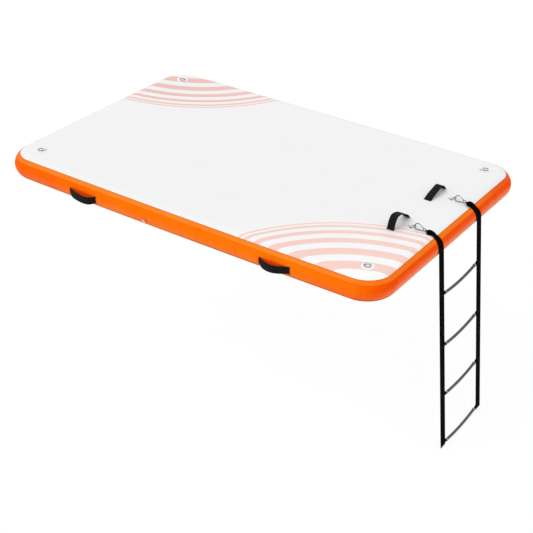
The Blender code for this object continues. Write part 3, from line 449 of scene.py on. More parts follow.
def seam_tape(name, pale, deep, line):
    """Welded tape over a seam: smoother than the sidewall, with rolled-in edges darkened by painted shade,
    cross ripples, and painted shade deepening it towards the deck's ends, the left end and the far side.
    """
    finish = Finish(name, 0.42, Specular_IOR_Level=0.04)
    across, along, _ = finish.split(finish.lengths)
    x, y, _ = finish.split(finish.place)
    edges = (finish.spread(across, low * TAPE_WIDTH, high * TAPE_WIDTH) for low, high in TAPE_EDGE_SHADE)
    edge = finish.sum("MAXIMUM", *edges)
    tone = finish.noise(finish.place, 6.0)
    # The deeper colour is random tone, and painted shade towards the deck's ends.
    end = finish.spread(finish.sum("ABSOLUTE", x), *TAPE_SHADE_X)
    share = finish.sum("MAXIMUM", finish.spread(tone, 0.3, 0.7, 0.0, 0.5), end)
    # The line colour is painted shade along the tape's rolled edges.
    colour = finish.mix(edge, finish.mix(share, pale, deep), line)
    # Painted shade on the tapes at the left end and towards the far side.
    far = finish.sum("MAXIMUM", finish.spread(x, *TAPE_LEFT_X, 0.0, 0.5), finish.spread(y, *TAPE_FAR_Y))
    colour = finish.mix(far, colour, FAR_SHADE_TINT, "MULTIPLY")
    knurl = finish.sum("MULTIPLY", finish.wave(along, 2.4 * MM), finish.sum("SUBTRACT", 1.0, edge))
    ripple = finish.noise(finish.stretched(finish.place, (30.0, 30.0, 4.0)), 1.0)
    normal = finish.bumps((ripple, 1.2 * MM, 0.3), (knurl, 0.06 * MM, 0.5))
    return finish.done(colour, finish.spread(tone, 0.3, 0.7, 0.3, 0.42), normal)


def webbing(name, dark, pale, rough, gloss):
    """Heavy woven strap: a chevron twill across, a rib at each thread, and raised threads painted paler,
    partly fibre wear and partly a painted highlight on the weave's tops.
    """
    finish = Finish(name, rough, Specular_IOR_Level=gloss)
    across, along, _ = finish.split(finish.lengths)
    zigzag = finish.sum("PINGPONG", across, 5 * MM)
    picks = finish.wave(finish.sum("ADD", along, zigzag), 2.6 * MM)
    ribs = finish.wave(across, 1.4 * MM)
    height = finish.sum("MULTIPLY_ADD", picks, 0.7, finish.sum("MULTIPLY", ribs, 0.3))
    fibre = finish.noise(finish.stretched(finish.lengths, (2500.0, 260.0, 1.0)), 1.0, 2.0)
    tone = finish.noise(finish.place, 22.0)
    # Paler on the raised threads: partly fibre wear, partly a painted highlight.
    share = finish.sum("MULTIPLY", finish.sum("MULTIPLY", height, finish.spread(fibre, 0.25, 0.75)),
                       finish.spread(tone, 0.3, 0.7, 0.4, 1.0))
    colour = finish.mix(share, dark, pale)
    normal = finish.bumps((height, 0.35 * MM, 0.8), (fibre, 0.1 * MM, 0.5))
    return finish.done(colour, finish.spread(fibre, 0.2, 0.8, rough - 0.1, rough + 0.12), normal)


def sewing_thread(name, colour):
    finish = Finish(name, 0.5, Specular_IOR_Level=0.4)
    twist = finish.noise(finish.place, 900.0, 1.0)
    shade = finish.mix(finish.spread(twist, 0.3, 0.7), tuple(0.6 * c for c in colour), colour)
    return finish.done(shade, None, finish.bumps((twist, 0.1 * MM, 0.5)))


def rung_rubber():
    """Dark grey moulded tube: a chalky bloom on its ribs and fine pores."""
    finish = Finish("rung_rubber", 0.6, Specular_IOR_Level=0.35)
    bloom = finish.noise(finish.place, 60.0, 4.0, 0.6)
    pores = finish.noise(finish.place, 1500.0, 2.0)
    colour = finish.mix(finish.spread(bloom, 0.3, 0.72), (0.075, 0.076, 0.08), (0.13, 0.13, 0.135))
    return finish.done(colour, finish.spread(bloom, 0.3, 0.7, 0.5, 0.72),
                       finish.bumps((pores, 0.08 * MM, 0.6)))


def stainless():
    """Polished stainless rod: fine draw lines, slight smears and duller spots."""
    finish = Finish("stainless", 0.2, 1.0)
    smear = finish.noise(finish.place, 90.0, 4.0)
    lines = finish.noise(finish.stretched(finish.place, (300.0, 2400.0, 2400.0)), 1.0, 2.0)
    colour = finish.mix(finish.spread(smear, 0.3, 0.75), (0.24, 0.24, 0.245), (0.13, 0.13, 0.135))
    rough = finish.sum("ADD", finish.spread(smear, 0.3, 0.7, 0.12, 0.26), finish.sum("MULTIPLY", lines, 0.06))
    return finish.done(colour, rough, finish.bumps((lines, 0.02 * MM, 0.4)))


def moulded(name, colour, deep, rough):
    """Moulded plastic: slight flow marks and a fine spark texture."""
    finish = Finish(name, rough, Specular_IOR_Level=0.5)
    flow = finish.noise(finish.stretched(finish.place, (40.0, 40.0, 120.0)), 1.0, 3.0)
    spark = finish.noise(finish.place, 1800.0, 1.0)
    shade = finish.mix(finish.spread(flow, 0.35, 0.7), colour, deep)
    return finish.done(shade, finish.spread(flow, 0.3, 0.7, rough - 0.06, rough + 0.08),
                       finish.bumps((spark, 0.04 * MM, 0.5)))


def patch_sheet():
    """White welded patch: a smooth glossy sheet with rings of weld pattern and a darker rim."""
    finish = Finish("patch_sheet", 0.36, Specular_IOR_Level=0.5)
    across, _, _ = finish.split(finish.lengths)
    rings = finish.wave(across, 5 * MM)
    cloudy = finish.noise(finish.place, 30.0)
    rim = finish.spread(across, PATCH_RADIUS - 4 * MM, PATCH_RADIUS, 0.0, 0.5)
    sheet = finish.mix(finish.spread(cloudy, 0.35, 0.7), (0.91, 0.91, 0.91), (0.87, 0.87, 0.875))
    colour = finish.mix(rim, sheet, (0.74, 0.74, 0.75))
    return finish.done(colour, finish.spread(cloudy, 0.3, 0.7, 0.3, 0.42),
                       finish.bumps((rings, 0.08 * MM, 0.4)))


def core_fabric():
    """The inside: pale grey base cloth with rows of drop threads."""
    finish = Finish("core_fabric", 0.85)
    x, y, _ = finish.split(finish.place)
    threads = finish.weave(x, y, 5 * MM)
    colour = finish.mix(threads, (0.42, 0.42, 0.41), (0.62, 0.62, 0.6))
    return finish.done(colour, None, finish.bumps((threads, 0.4 * MM, 0.7)))


# Each look: its material, and the slot that it goes by.
LOOKS = {
    "deck": (deck_sheet(), "deck_sheet"),
    "side": (side_sheet("side_sheet"), "side_sheet"),
    "shaded_side": (side_sheet("handle_patch_painted_shade", shaded=True), "side_sheet"),
    "joint_side": (side_sheet("sidewall_joint", joined=True), "side_sheet"),
    "tape": (seam_tape("seam_tape", (1.0, 0.235, 0.012), (0.98, 0.185, 0.004), (0.62, 0.105, 0.005)),
             "side_sheet"),
    # The base tape is the same orange tape as the top one; its dark reds are painted shade under the
    # sidewall's bulge.
    "shaded_low_tape": (seam_tape("base_seam_tape", (0.62, 0.07, 0.008), (0.55, 0.07, 0.02), (0.42, 0.045, 0.008)),
                 "side_sheet"),
    # The handles' webbing is painted paler than the ladder's: a painted highlight for the light on their
    # tops.
    "black_web": (webbing("black_webbing", (0.003, 0.003, 0.003), (0.034, 0.034, 0.035), 0.75, 0.1),
                  "webbing"),
    "ladder_web": (webbing("ladder_webbing", (0.0004, 0.0004, 0.0004), (0.0048, 0.0048, 0.005), 0.85, 0.03),
                   "webbing"),
    "white_web": (webbing("white_webbing", (0.62, 0.62, 0.63), (0.80, 0.80, 0.80), 0.6, 0.3), "patch_sheet"),
    "black_thread": (sewing_thread("black_thread", (0.02, 0.02, 0.021)), "webbing"),
    "white_thread": (sewing_thread("white_thread", (0.7, 0.7, 0.7)), "patch_sheet"),
    "rubber": (rung_rubber(), "rung_tube"),
    "collar": (moulded("rung_collar", (0.40, 0.40, 0.41), (0.30, 0.30, 0.31), 0.5), "rung_tube"),
    "steel": (stainless(), "stainless"),
    "valve": (moulded("valve_orange", (0.90, 0.17, 0.006), (0.74, 0.11, 0.004), 0.38), "valve_orange"),
    # The grip bar is part of the cap; its near-white colour is a painted glint.
    "grip": (moulded("valve_grip_painted_glint", (0.93, 0.84, 0.80), (0.86, 0.74, 0.68), 0.4), "valve_orange"),
    "stem": (moulded("valve_stem_white", (0.78, 0.78, 0.75), (0.66, 0.66, 0.63), 0.4), "valve_stem"),
    "patch": (patch_sheet(), "patch_sheet"),
    "core": (core_fabric(), "core_fabric"),
}


def held(share):
    """A share kept between 0 and 1."""
    return min(1.0, max(0.0, share))


# Meshes.
def add_piece(name, mesh, look, body, stands_for=(), bend=None, sharp=40.0):
    """Links a finished mesh, gives it its look, gives it its body unless bend is given, and hides the nodes
    that it stands for.
    """
    material, slot = LOOKS[look]
    mesh.materials.clear()
    mesh.materials.append(material)
    mesh.shade_smooth()
    mesh.set_sharp_from_angle(angle=math.radians(sharp))
    piece = added(name, mesh)
    if bend:
        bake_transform(piece)
    else:
        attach(piece, body)
    if stands_for:
        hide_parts(*stands_for)


def closed_mesh(name, points, faces, lengths):
    """A closed mesh that faces outwards; lengths holds each face corner's (across, along) in metres."""
    mesh = bpy.data.meshes.new(name)
    mesh.from_pydata([tuple(p) for p in points], [], faces)
    layer = mesh.uv_layers.new(name="lengths")
    layer.uv.foreach_set("vector", np.asarray(lengths, np.float32).ravel())
    work = bmesh.new()
    work.from_mesh(mesh)
    bmesh.ops.recalc_face_normals(work, faces=work.faces)
    if work.calc_volume(signed=True) < 0:
        bmesh.ops.reverse_faces(work, faces=work.faces)
    work.to_mesh(mesh)
    work.free()
    return mesh


def run_lengths(points, closed):
    """Distance along a row of points; a closed row has one more, for its start reached again."""
    points = np.vstack([points, points[:1]]) if closed else points
    steps = np.linalg.norm(np.diff(points, axis=0), axis=1)
    return np.concatenate([[0.0], np.cumsum(steps)])


def loft(name, rings, closed=False):
    """Joins equal closed rings one after another; an open loft gets a flat cap at each end."""
    rings = np.asarray(rings, float)
    rows, count = rings.shape[:2]
    across = run_lengths(rings[rows // 2], True)
    along = run_lengths(rings.mean(axis=1) if not closed else rings[:, 0], closed)
    faces, lengths = [], []
    for i in range(rows if closed else rows - 1):
        a, b = i * count, ((i + 1) % rows) * count
        for j in range(count):
            k = (j + 1) % count
            faces.append((a + j, a + k, b + k, b + j))
            lengths += [(across[j], along[i]), (across[j + 1], along[i]),
                        (across[j + 1], along[i + 1]), (across[j], along[i + 1])]
    if not closed:
        for i in (0, rows - 1):
            faces.append(tuple(i * count + j for j in range(count)))
            lengths += [(across[j], along[i]) for j in range(count)]
    return closed_mesh(name, rings.reshape(-1, 3), faces, lengths)


def eased(points, rounds):
    """A row of points with its corners cut round after round; the ends stay."""
    points = np.asarray(points, float)
    for _ in range(rounds):
        near, far = points[:-1] * 0.75 + points[1:] * 0.25, points[:-1] * 0.25 + points[1:] * 0.75
        middle = np.stack([near, far], axis=1).reshape(-1, points.shape[1])
        points = np.vstack([points[:1], middle[1:-1], points[-1:]])
    return points


def directions(points):
    """The unit direction of a row of points at each of them."""
    ahead = np.gradient(np.asarray(points, float), axis=0)
    return ahead / np.linalg.norm(ahead, axis=1)[:, None]


def web_section(width, gauge):
    """Points round a strap's section: (across, lift) with thick selvedges and a slightly thinner middle."""
    shares = ((-1, 0), (-0.98, 0.75), (-0.93, 1), (-0.82, 0.86), (-0.4, 0.84), (0.4, 0.84),
              (0.82, 0.86), (0.93, 1), (0.98, 0.75), (1, 0))
    upper = [(a * width / 2, b * gauge / 2) for a, b in shares]
    return upper + [(a, -b) for a, b in reversed(upper[1:-1])]


def strap(name, stations):
    """A strap lofted through stations of (centre, across, width, gauge)."""
    stations = np.asarray(stations, float)
    ahead = directions(stations[:, :3])
    rings = []
    for (x, y, z, cx, cy, cz, width, gauge), onward in zip(stations, ahead):
        cross = np.array((cx, cy, cz))
        cross -= onward * cross.dot(onward)
        cross /= np.linalg.norm(cross)
        lift = np.cross(onward, cross)
        rings.append([np.array((x, y, z)) + cross * a + lift * b for a, b in web_section(width, gauge)])
    return loft(name, rings)


def closed_rod(name, path, radius):
    """A round rod along a closed path, with its section carried on without twist."""
    path = np.asarray(path, float)
    ahead = np.roll(path, -1, axis=0) - np.roll(path, 1, axis=0)
    ahead /= np.linalg.norm(ahead, axis=1)[:, None]
    side = Vector(ahead[0]).orthogonal().normalized()
    turns = [2 * math.pi * j / ROD_SIDES for j in range(ROD_SIDES)]
    rings = []
    for point, onward in zip(path, ahead):
        onward = Vector(onward)
        side = (side - onward * side.dot(onward)).normalized()
        up = onward.cross(side)
        rings.append([point + radius * np.array(math.cos(t) * side + math.sin(t) * up) for t in turns])
    return loft(name, rings, True)


def ring_faces(pairs, count):
    """Faces between pairs of rings of point numbers, where a ring may also be a single point."""
    faces = []
    for a, b in pairs:
        for j in range(count):
            k = (j + 1) % count
            if len(a) == 1:
                faces.append((a[0], b[k], b[j]))
            elif len(b) == 1:
                faces.append((a[j], a[k], b[0]))
            else:
                faces.append((a[j], a[k], b[k], b[j]))
    return faces


def turned(name, profile, segments=48, closed=False):
    """A profile of (radius, height) turned about Z; its UV holds the distance from the axis."""
    points, rings, radii = [], [], []
    for radius, height in profile:
        count = 1 if radius == 0 else segments
        rings.append(list(range(len(points), len(points) + count)))
        for j in range(count):
            turn = 2 * math.pi * j / segments
            points.append((radius * math.cos(turn), radius * math.sin(turn), height))
            radii.append(radius)
    faces = ring_faces(list(zip(rings, rings[1:])) + [(rings[-1], rings[0])] * closed, segments)
    lengths = [(radii[i], points[i][2]) for face in faces for i in face]
    return closed_mesh(name, points, faces, lengths)


def placed(mesh, place):
    """The same mesh, moved to its place."""
    mesh.transform(place)
    return mesh


def joined(name, meshes):
    """Several meshes as one."""
    work = bmesh.new()
    for mesh in meshes:
        work.from_mesh(mesh)
    made = bpy.data.meshes.new(name)
    work.to_mesh(made)
    work.free()
    for mesh in meshes:
        bpy.data.meshes.remove(mesh)
    return made


def frame_matrix(origin, x_axis, z_axis):
    """A placement with its X axis along x_axis and its Z axis as near z_axis as that allows."""
    x_axis = Vector(x_axis).normalized()
    y_axis = Vector(z_axis).cross(x_axis).normalized()
    made = Matrix((x_axis, y_axis, x_axis.cross(y_axis))).transposed().to_4x4()
    made.translation = Vector(origin)
    return made


# Geometry Nodes: rows of beads along a path, and ribbed tubes.
def recipe(name, inputs):
    """An empty tree with a geometry input and output and the named inputs."""
    tree = bpy.data.node_groups.new(name, "GeometryNodeTree")
    tree.interface.new_socket("Paths", in_out="INPUT", socket_type="NodeSocketGeometry")
    tree.interface.new_socket("Piece", in_out="OUTPUT", socket_type="NodeSocketGeometry")
    for label, value in inputs.items():
        kind = {float: "NodeSocketFloat", tuple: "NodeSocketVector"}.get(type(value))
        socket = tree.interface.new_socket(label, in_out="INPUT", socket_type=kind or "NodeSocketMaterial")
        if kind:
            socket.default_value = value
    given = tree.nodes.new("NodeGroupInput").outputs
    curve = add_node(tree, "GeometryNodeMeshToCurve", [(0, given["Paths"])]).outputs[0]
    return tree, given, curve


def ends_in(tree, shape, look):
    """Makes a tree's instances real, gives them their look and leads them out."""
    whole = add_node(tree, "GeometryNodeRealizeInstances", [(0, shape)]).outputs[0]
    painted = add_node(tree, "GeometryNodeSetMaterial", [("Geometry", whole), ("Material", look)]).outputs[0]
    add_node(tree, "NodeGroupOutput", [(0, painted)])
    return tree


def bead_row():
    """Beads at an even pitch along each path: stitches along a sewn line, or grip ribs round a rim."""
    tree, given, curve = recipe("bead_row", {
        "Pitch": STITCH_PITCH, "Bead size": (1.3 * MM, 0.5 * MM, 0.4 * MM), "Look": None,
    })
    row = add_node(tree, "GeometryNodeCurveToPoints", [("Curve", curve), ("Length", given["Pitch"])],
                   mode="LENGTH")
    bead = add_node(tree, "GeometryNodeMeshUVSphere", [("Segments", 6), ("Rings", 4), ("Radius", 1.0)])
    facing = add_node(tree, "FunctionNodeAlignRotationToVector", [("Vector", row.outputs["Tangent"])],
                      axis="X")
    beads = add_node(tree, "GeometryNodeInstanceOnPoints", [
        ("Points", row.outputs["Points"]), ("Instance", bead.outputs[0]),
        ("Rotation", facing.outputs[0]), ("Scale", given["Bead size"]),
    ])
    return ends_in(tree, beads.outputs[0], given["Look"])


def ribbed_tube():
    """A tube along each path whose outside swells into rounded ribs at an even pitch."""
    tree, given, curve = recipe("ribbed_tube", {
        "Tube radius": RUNG_DIAMETER / 2, "Rib depth": 1.1 * MM, "Rib pitch": 8 * MM, "Look": None,
    })

    def sum_of(operation, a, b):
        return add_node(tree, "ShaderNodeMath", [(0, a), (1, b)], operation=operation).outputs[0]

    step = sum_of("DIVIDE", given["Rib pitch"], 6.0)
    run = add_node(tree, "GeometryNodeResampleCurve", [("Curve", curve), ("Length", step)], mode="LENGTH")
    length = add_node(tree, "GeometryNodeSplineParameter").outputs["Length"]
    turn = sum_of("MULTIPLY", sum_of("DIVIDE", length, given["Rib pitch"]), math.pi)
    valley = sum_of("SUBTRACT", 1.0, sum_of("ABSOLUTE", sum_of("SINE", turn, 0.0), 0.0))
    dip = sum_of("MULTIPLY", valley, sum_of("DIVIDE", given["Rib depth"], given["Tube radius"]))
    circle = add_node(tree, "GeometryNodeCurvePrimitiveCircle",
                      [("Resolution", 24), ("Radius", given["Tube radius"])])
    tube = add_node(tree, "GeometryNodeCurveToMesh", [
        ("Curve", run.outputs[0]), ("Profile Curve", circle.outputs[0]),
        ("Scale", sum_of("SUBTRACT", 1.0, dip)), ("Fill Caps", True),
    ])
    return ends_in(tree, tube.outputs[0], given["Look"])


BEAD_ROW, RIBBED_TUBE = bead_row(), ribbed_tube()


def grown(tree, name, paths, look, **inputs):
    """Runs a recipe on rows of points and returns the plain mesh."""
    points, edges = [], []
    for path in paths:
        edges += [(len(points) + i, len(points) + i + 1) for i in range(len(path) - 1)]
        points += [tuple(p) for p in path]
    base = bpy.data.meshes.new(name)
    base.from_pydata(points, edges, [])
    holder = added(name, base)
    step = holder.modifiers.new("recipe", "NODES")
    step.node_group = tree
    given = {"Look": LOOKS[look][0], **{key.replace("_", " "): value for key, value in inputs.items()}}
    for item in tree.interface.items_tree:
        if item.in_out == "INPUT" and item.name in given:
            step[item.identifier] = given[item.name]
    seen = holder.evaluated_get(bpy.context.evaluated_depsgraph_get())
    mesh = bpy.data.meshes.new_from_object(seen)
    holder.modifiers.remove(step)
    bpy.data.objects.remove(holder)
    bpy.data.meshes.remove(base)
    return mesh


def stitches(name, lines, look, body):
    """Sewing along rows of points."""
    add_piece(name, grown(BEAD_ROW, name, lines, look), look, body)


def box_and_cross(surface, low, high):
    """A sewn box with a cross in it, on a surface given as a function of (across, along)."""
    (a0, b0), (a1, b1) = low, high
    corners = [(a0, b0), (a1, b0), (a1, b1), (a0, b1), (a0, b0)]
    lines = [corners, [(a0, b0), (a1, b1)], [(a1, b0), (a0, b1)]]
    rows = []
    for line in lines:
        for start, end in zip(line, line[1:]):
            rows.append([surface(start[0] + (end[0] - start[0]) * t, start[1] + (end[1] - start[1]) * t)
                         for t in np.linspace(0, 1, 9)])
    return rows


# The air chamber.
CORNER_STEPS, LONG_STEPS, SHORT_STEPS = 24, 40, 22


def plan_outline():
    """Points and outward normals of the widest outline, before the long sides bow."""
    half_x, half_y = DECK_LENGTH / 2, DECK_WIDTH / 2
    centre_x, centre_y = half_x - CORNER_RADIUS, half_y - CORNER_RADIUS
    rows = []
    for corner, (sx, sy) in enumerate(((1, 1), (-1, 1), (-1, -1), (1, -1))):
        for i in range(CORNER_STEPS + 1):
            turn = math.radians(90 * corner + 90 * i / CORNER_STEPS)
            nx, ny = math.cos(turn), math.sin(turn)
            rows.append((sx * centre_x + CORNER_RADIUS * nx, sy * centre_y + CORNER_RADIUS * ny, nx, ny))
        steps = LONG_STEPS if corner % 2 == 0 else SHORT_STEPS
        for i in range(1, steps):
            share = 1 - 2 * i / steps
            rows.append((sx * centre_x * share, sy * half_y, 0, sy) if corner % 2 == 0
                        else (sx * half_x, sy * centre_y * share, sx, 0))
    return np.array(rows)


PLAN = plan_outline()


def side_bow(x):
    """How far the long sides bow out at a place along them."""
    return SIDE_BOW * (1 - (2 * x / DECK_LENGTH) ** 2)


def plan_ring(angle, out):
    """The outline at an angle up round the shoulder, so far out from the surface."""
    turn = math.radians(angle)
    inset = SIDE_BULGE - (SIDE_BULGE + out) * math.cos(turn)
    bow = side_bow(PLAN[:, 0]) * PLAN[:, 3]
    height = np.full(len(PLAN), DECK_THICKNESS / 2 + (DECK_THICKNESS / 2 + out) * math.sin(turn))
    return np.stack([PLAN[:, 0] - PLAN[:, 2] * inset, PLAN[:, 1] - PLAN[:, 3] * inset + bow, height], axis=1)


def side_y(x, z, out=0.0):
    """The y of the long side at a height, on the +Y side and so far out from the surface."""
    lift = (z - DECK_THICKNESS / 2) / (DECK_THICKNESS / 2 + out)
    bulge = (SIDE_BULGE + out) * math.sqrt(max(0.0, 1 - lift * lift))
    return DECK_WIDTH / 2 - SIDE_BULGE + side_bow(x) + bulge


def band_mesh(name, angles, outs):
    """A closed band round the chamber: its section runs out over the angles and back beneath them."""
    low, high = outs
    section = [(angles[0], (low + high) / 2)] + [(a, high) for a in angles[1:-1]]
    section += [(angles[-1], (low + high) / 2)] + [(a, low) for a in angles[1:-1][::-1]]
    rings = np.stack([plan_ring(a, out) for a, out in section], axis=1)
    return loft(name, rings, True)


def make_chamber():
    """Skins, sidewall and the two seam tapes, with rolled tape edges."""
    edge = math.degrees(TAPE_ROLL / (DECK_THICKNESS / 2))
    for name, side in (("deck_skin", 1), ("base_skin", -1)):
        angles = [90.0, 88, 84, 79, 74, 69, 64, 60, SEAM_ANGLE, 51, SKIN_EDGE_ANGLE]
        outer = [plan_ring(side * a, 0.0) for a in angles]
        inner = [plan_ring(side * a, -SKIN_GAUGE) for a in angles[::-1]]
        add_piece(name + "_sheet", loft(name, outer + inner), "deck", "dock", [name])
    top = SKIN_EDGE_ANGLE - 2 * edge
    angles = list(np.linspace(top, -top, 25))
    add_piece("sidewall_sheet", band_mesh("sidewall", angles, (-SKIN_GAUGE, 0.0)), "side", "dock",
              ["sidewall"])
    low, high = TAPE_LOW_ANGLE, SEAM_ANGLE
    angles = (low, low + edge, low + 2 * edge, 38, 42, 46, 50, 53, high - 2 * edge, high - edge, high)
    for name, side, look in (("deck_seam_tape", 1, "tape"), ("base_seam_tape", -1, "shaded_low_tape")):
        mesh = band_mesh(name, [side * a for a in angles], (SHEET_UNDER, TAPE_PROUD))
        add_piece(name + "_band", mesh, look, "dock", [name])


def wall_sheet(name, middle, half, proud, side, roundness=6.0):
    """A thin welded sheet with rounded corners that follows the long side; middle and half are (x, z)."""
    turns, steps, bevel = 72, 7, 0.6 * MM
    corners = []
    for j in range(turns):
        t = 2 * math.pi * j / turns
        corners.append([math.copysign(abs(v) ** (2 / roundness), v) for v in (math.cos(t), math.sin(t))])
    rows = [[middle]]
    for share in np.linspace(0, 1, steps + 1)[1:]:
        rows.append([(middle[0] + half[0] * share * c, middle[1] + half[1] * share * s) for c, s in corners])
    layers = [(row, proud, 1.0) for row in rows[:-1]] + [(rows[-1], proud, 1 - bevel / half[0])]
    layers += [(rows[-1], SHEET_UNDER, 1.0), (rows[0], SHEET_UNDER, 1.0)]
    points, rings = [], []
    for row, out, shrink in layers:
        rings.append(list(range(len(points), len(points) + len(row))))
        for x, z in row:
            x = middle[0] + (x - middle[0]) * shrink
            points.append((x, side * side_y(x, z, out), z))
    faces = ring_faces(zip(rings, rings[1:]), turns)
    lengths = [(points[i][2], points[i][0]) for face in faces for i in face]
    return closed_mesh(name, points, faces, lengths)


def make_joint_patch():
    """The cover strip over the sidewall's join, from the one seam tape to the other."""
    height = DECK_THICKNESS / 2
    half = height * math.sin(math.radians(TAPE_LOW_ANGLE - JOINT_PATCH_SHORT))
    mesh = wall_sheet("joint_patch", (JOINT_PATCH_X, height), (JOINT_PATCH_WIDTH / 2, half),
                      JOINT_PATCH_PROUD, -1, 14.0)
    add_piece("sidewall_joint_cover", mesh, "joint_side", "dock", ["sidewall_joint_patch"])


# Carry handles.
def arch_frames(points):
    """Along a handle's middle line, as (along, lift): its points, and at each the direction square to it."""
    line = eased([(along * MM, lift * MM) for along, lift in points], 3)
    return [(point, np.array((-onward[1], onward[0]))) for point, onward in zip(line, directions(line))]


def bar_tacks(surface, width, points):
    """Short sewn rows across both ends of a handle, on a surface given as a function of (across, along)."""
    half = width / 2 - TACK_MARGIN
    places = [points[0][0] * MM + inset for inset in TACK_ROWS]
    places += [points[-1][0] * MM - inset for inset in TACK_ROWS]
    return [[surface(half * t, place) for t in np.linspace(-1, 1, 13)] for place in places]


def make_deck_handle(word, side, points):
    """A webbing handle on the deck, sewn down at both feet."""
    middle = ANCHOR_OFFSET + side * DECK_HANDLE_SPACING / 2
    base = DECK_THICKNESS + FIT_GAP + WEB_GAUGE / 2
    section = web_section(DECK_HANDLE_WIDTH, WEB_GAUGE)
    rings = [[(DECK_HANDLE_X + a, middle + point[0] + lift[0] * b, base + point[1] + lift[1] * b)
              for a, b in section] for point, lift in arch_frames(points)]
    name = f"deck_handle_{word}_webbing"
    add_piece(name, loft(name, rings), "black_web", "dock", [f"deck_handle_{word}"])

    def foot_surface(a, b):
        return DECK_HANDLE_X + a, middle + b, base + WEB_GAUGE / 2

    stitches(name + "_stitches", bar_tacks(foot_surface, DECK_HANDLE_WIDTH, points), "black_thread", "dock")


def make_side_handle(number, side, middle, points, droop):
    """A webbing handle on the sidewall: its lower edge stands out further, and its ends lie on a patch."""
    margin_x, margin_z = HANDLE_PATCH_MARGINS
    half = SIDE_HANDLE_LENGTH / 2 + margin_x, SIDE_HANDLE_WIDTH / 2 + margin_z
    patch = wall_sheet("patch", (middle, SIDE_HANDLE_Z), half, HANDLE_PATCH_PROUD, side)
    add_piece(f"side_handle_{number}_patch", patch, "shaded_side", "dock")

    def on_wall(along, lift, across):
        """A place on the webbing, flat across where it stands off and on the wall at its feet."""
        flat = held(lift / SIDE_FLAT_LIFT)
        x = middle + along
        fall = droop * held(along / SIDE_DROOP_RUN) ** 1.5
        z = SIDE_HANDLE_Z + SIDE_WEB_RISE + across - fall
        curved, level = side_y(x, z), side_y(x, SIDE_HANDLE_Z)
        lean = SIDE_WEB_TILT * (0.5 - across / SIDE_WEB_WIDTH) * min(1.0, lift / SIDE_TILT_LIFT)
        wall = curved + (level - curved) * flat + HANDLE_PATCH_PROUD
        return x, side * (wall + WEB_GAUGE / 2 + max(lift, 0.0) + lean), z

    section = web_section(SIDE_WEB_WIDTH, WEB_GAUGE)
    rings = [[on_wall(point[0] + lift[0] * b, point[1] + lift[1] * b, a) for a, b in section]
             for point, lift in arch_frames(points)]
    name = f"side_handle_{number}_webbing"
    add_piece(name, loft(name, rings), "black_web", "dock", [f"side_handle_{number}"])

    def foot_surface(a, b):
        return on_wall(b, WEB_GAUGE / 2, a)

    stitches(f"side_handle_{number}_stitches", bar_tacks(foot_surface, SIDE_WEB_WIDTH, points),
             "black_thread", "dock")


# The corner points of each handle's arch, as (along, lift) in mm.
DECK_ARCHES = (
    ((-102, 0), (-93, 0), (-89, 20), (-81, 44), (-66, 66), (-44, 73), (-14, 68), (20, 57), (56, 38), (82, 20),
     (94, 0), (102, 0)),
    ((-102, 0), (-94, 0), (-80, 7), (-57, 16), (-25, 24), (2, 30), (30, 37), (52, 38), (72, 31), (88, 15),
     (96, 0), (104, 0)),
)
SIDE_ARCHES = (
    ((-92, 0), (-84, 0), (-77, 7), (-56, 17), (-18, 29), (24, 37), (62, 39), (86, 31), (100, 14), (107, 0),
     (115, 0)),
    ((-94, 0), (-86, 0), (-76, 7), (-50, 22), (-14, 33), (20, 32), (52, 20), (78, 8), (96, 0), (112, 0)),
)
SIDE_DROOPS = 0.0, -3 * MM              # how far each one's end nearer the ladder hangs down


def make_handles():
    """Two handles on the deck and four on its long sides."""
    for (word, side), points in zip(SIDES, DECK_ARCHES):
        make_deck_handle(word, side, points)
    middles = -SIDE_HANDLE_X, SIDE_HANDLE_X
    places = [(side, *row) for side in (-1, 1) for row in zip(middles, SIDE_ARCHES, SIDE_DROOPS)]
    for number, place in enumerate(places, 1):
        make_side_handle(number, *place)


# Rings, patches and tabs.
def ring_path():
    """A D: the bar along Y through the origin, the bow out to +X."""
    half, bend, reach = RING_WIDTH / 2, RING_CORNER, RING_REACH - RING_SHOULDER
    bar = [(0, y, 0) for y in np.linspace(-half + bend, half - bend, 9)]
    corner = [(bend * (1 - math.cos(t)), half - bend * (1 - math.sin(t)), 0)
              for t in np.radians(np.linspace(15, 90, 6))]
    bow = [(RING_SHOULDER + reach * math.cos(t), half * math.sin(t), 0)
           for t in np.radians(np.linspace(90, -90, 25))]
    return bar + corner + bow + [(x, -y, 0) for x, y, _ in reversed(corner)]


def tab_line():
    """The tab's webbing in its own plane (x, z): along the patch, round the bar and back over itself."""
    lower = PATCH_GAUGE + TAB_GAUGE / 2
    upper = lower + TAB_GAUGE + TAB_FOLD_GAP
    radius = RING_WIRE / 2 + RING_CLEARANCE + TAB_GAUGE / 2
    tail = -BAR_SETBACK - TAB_LENGTH
    line = [(tail, lower), (-BAR_SETBACK - 12 * MM, lower), (-BAR_SETBACK - 3 * MM, lower)]
    for t in np.radians(np.linspace(-80, 110, 13)):
        line.append((-BAR_SETBACK + radius * math.cos(t), BAR_HEIGHT + radius * math.sin(t)))
    line += [(-BAR_SETBACK - 9 * MM, upper + 1.2 * MM), (-BAR_SETBACK - 13 * MM, upper),
             (tail + 2 * MM, upper)]
    return eased(line, 2)


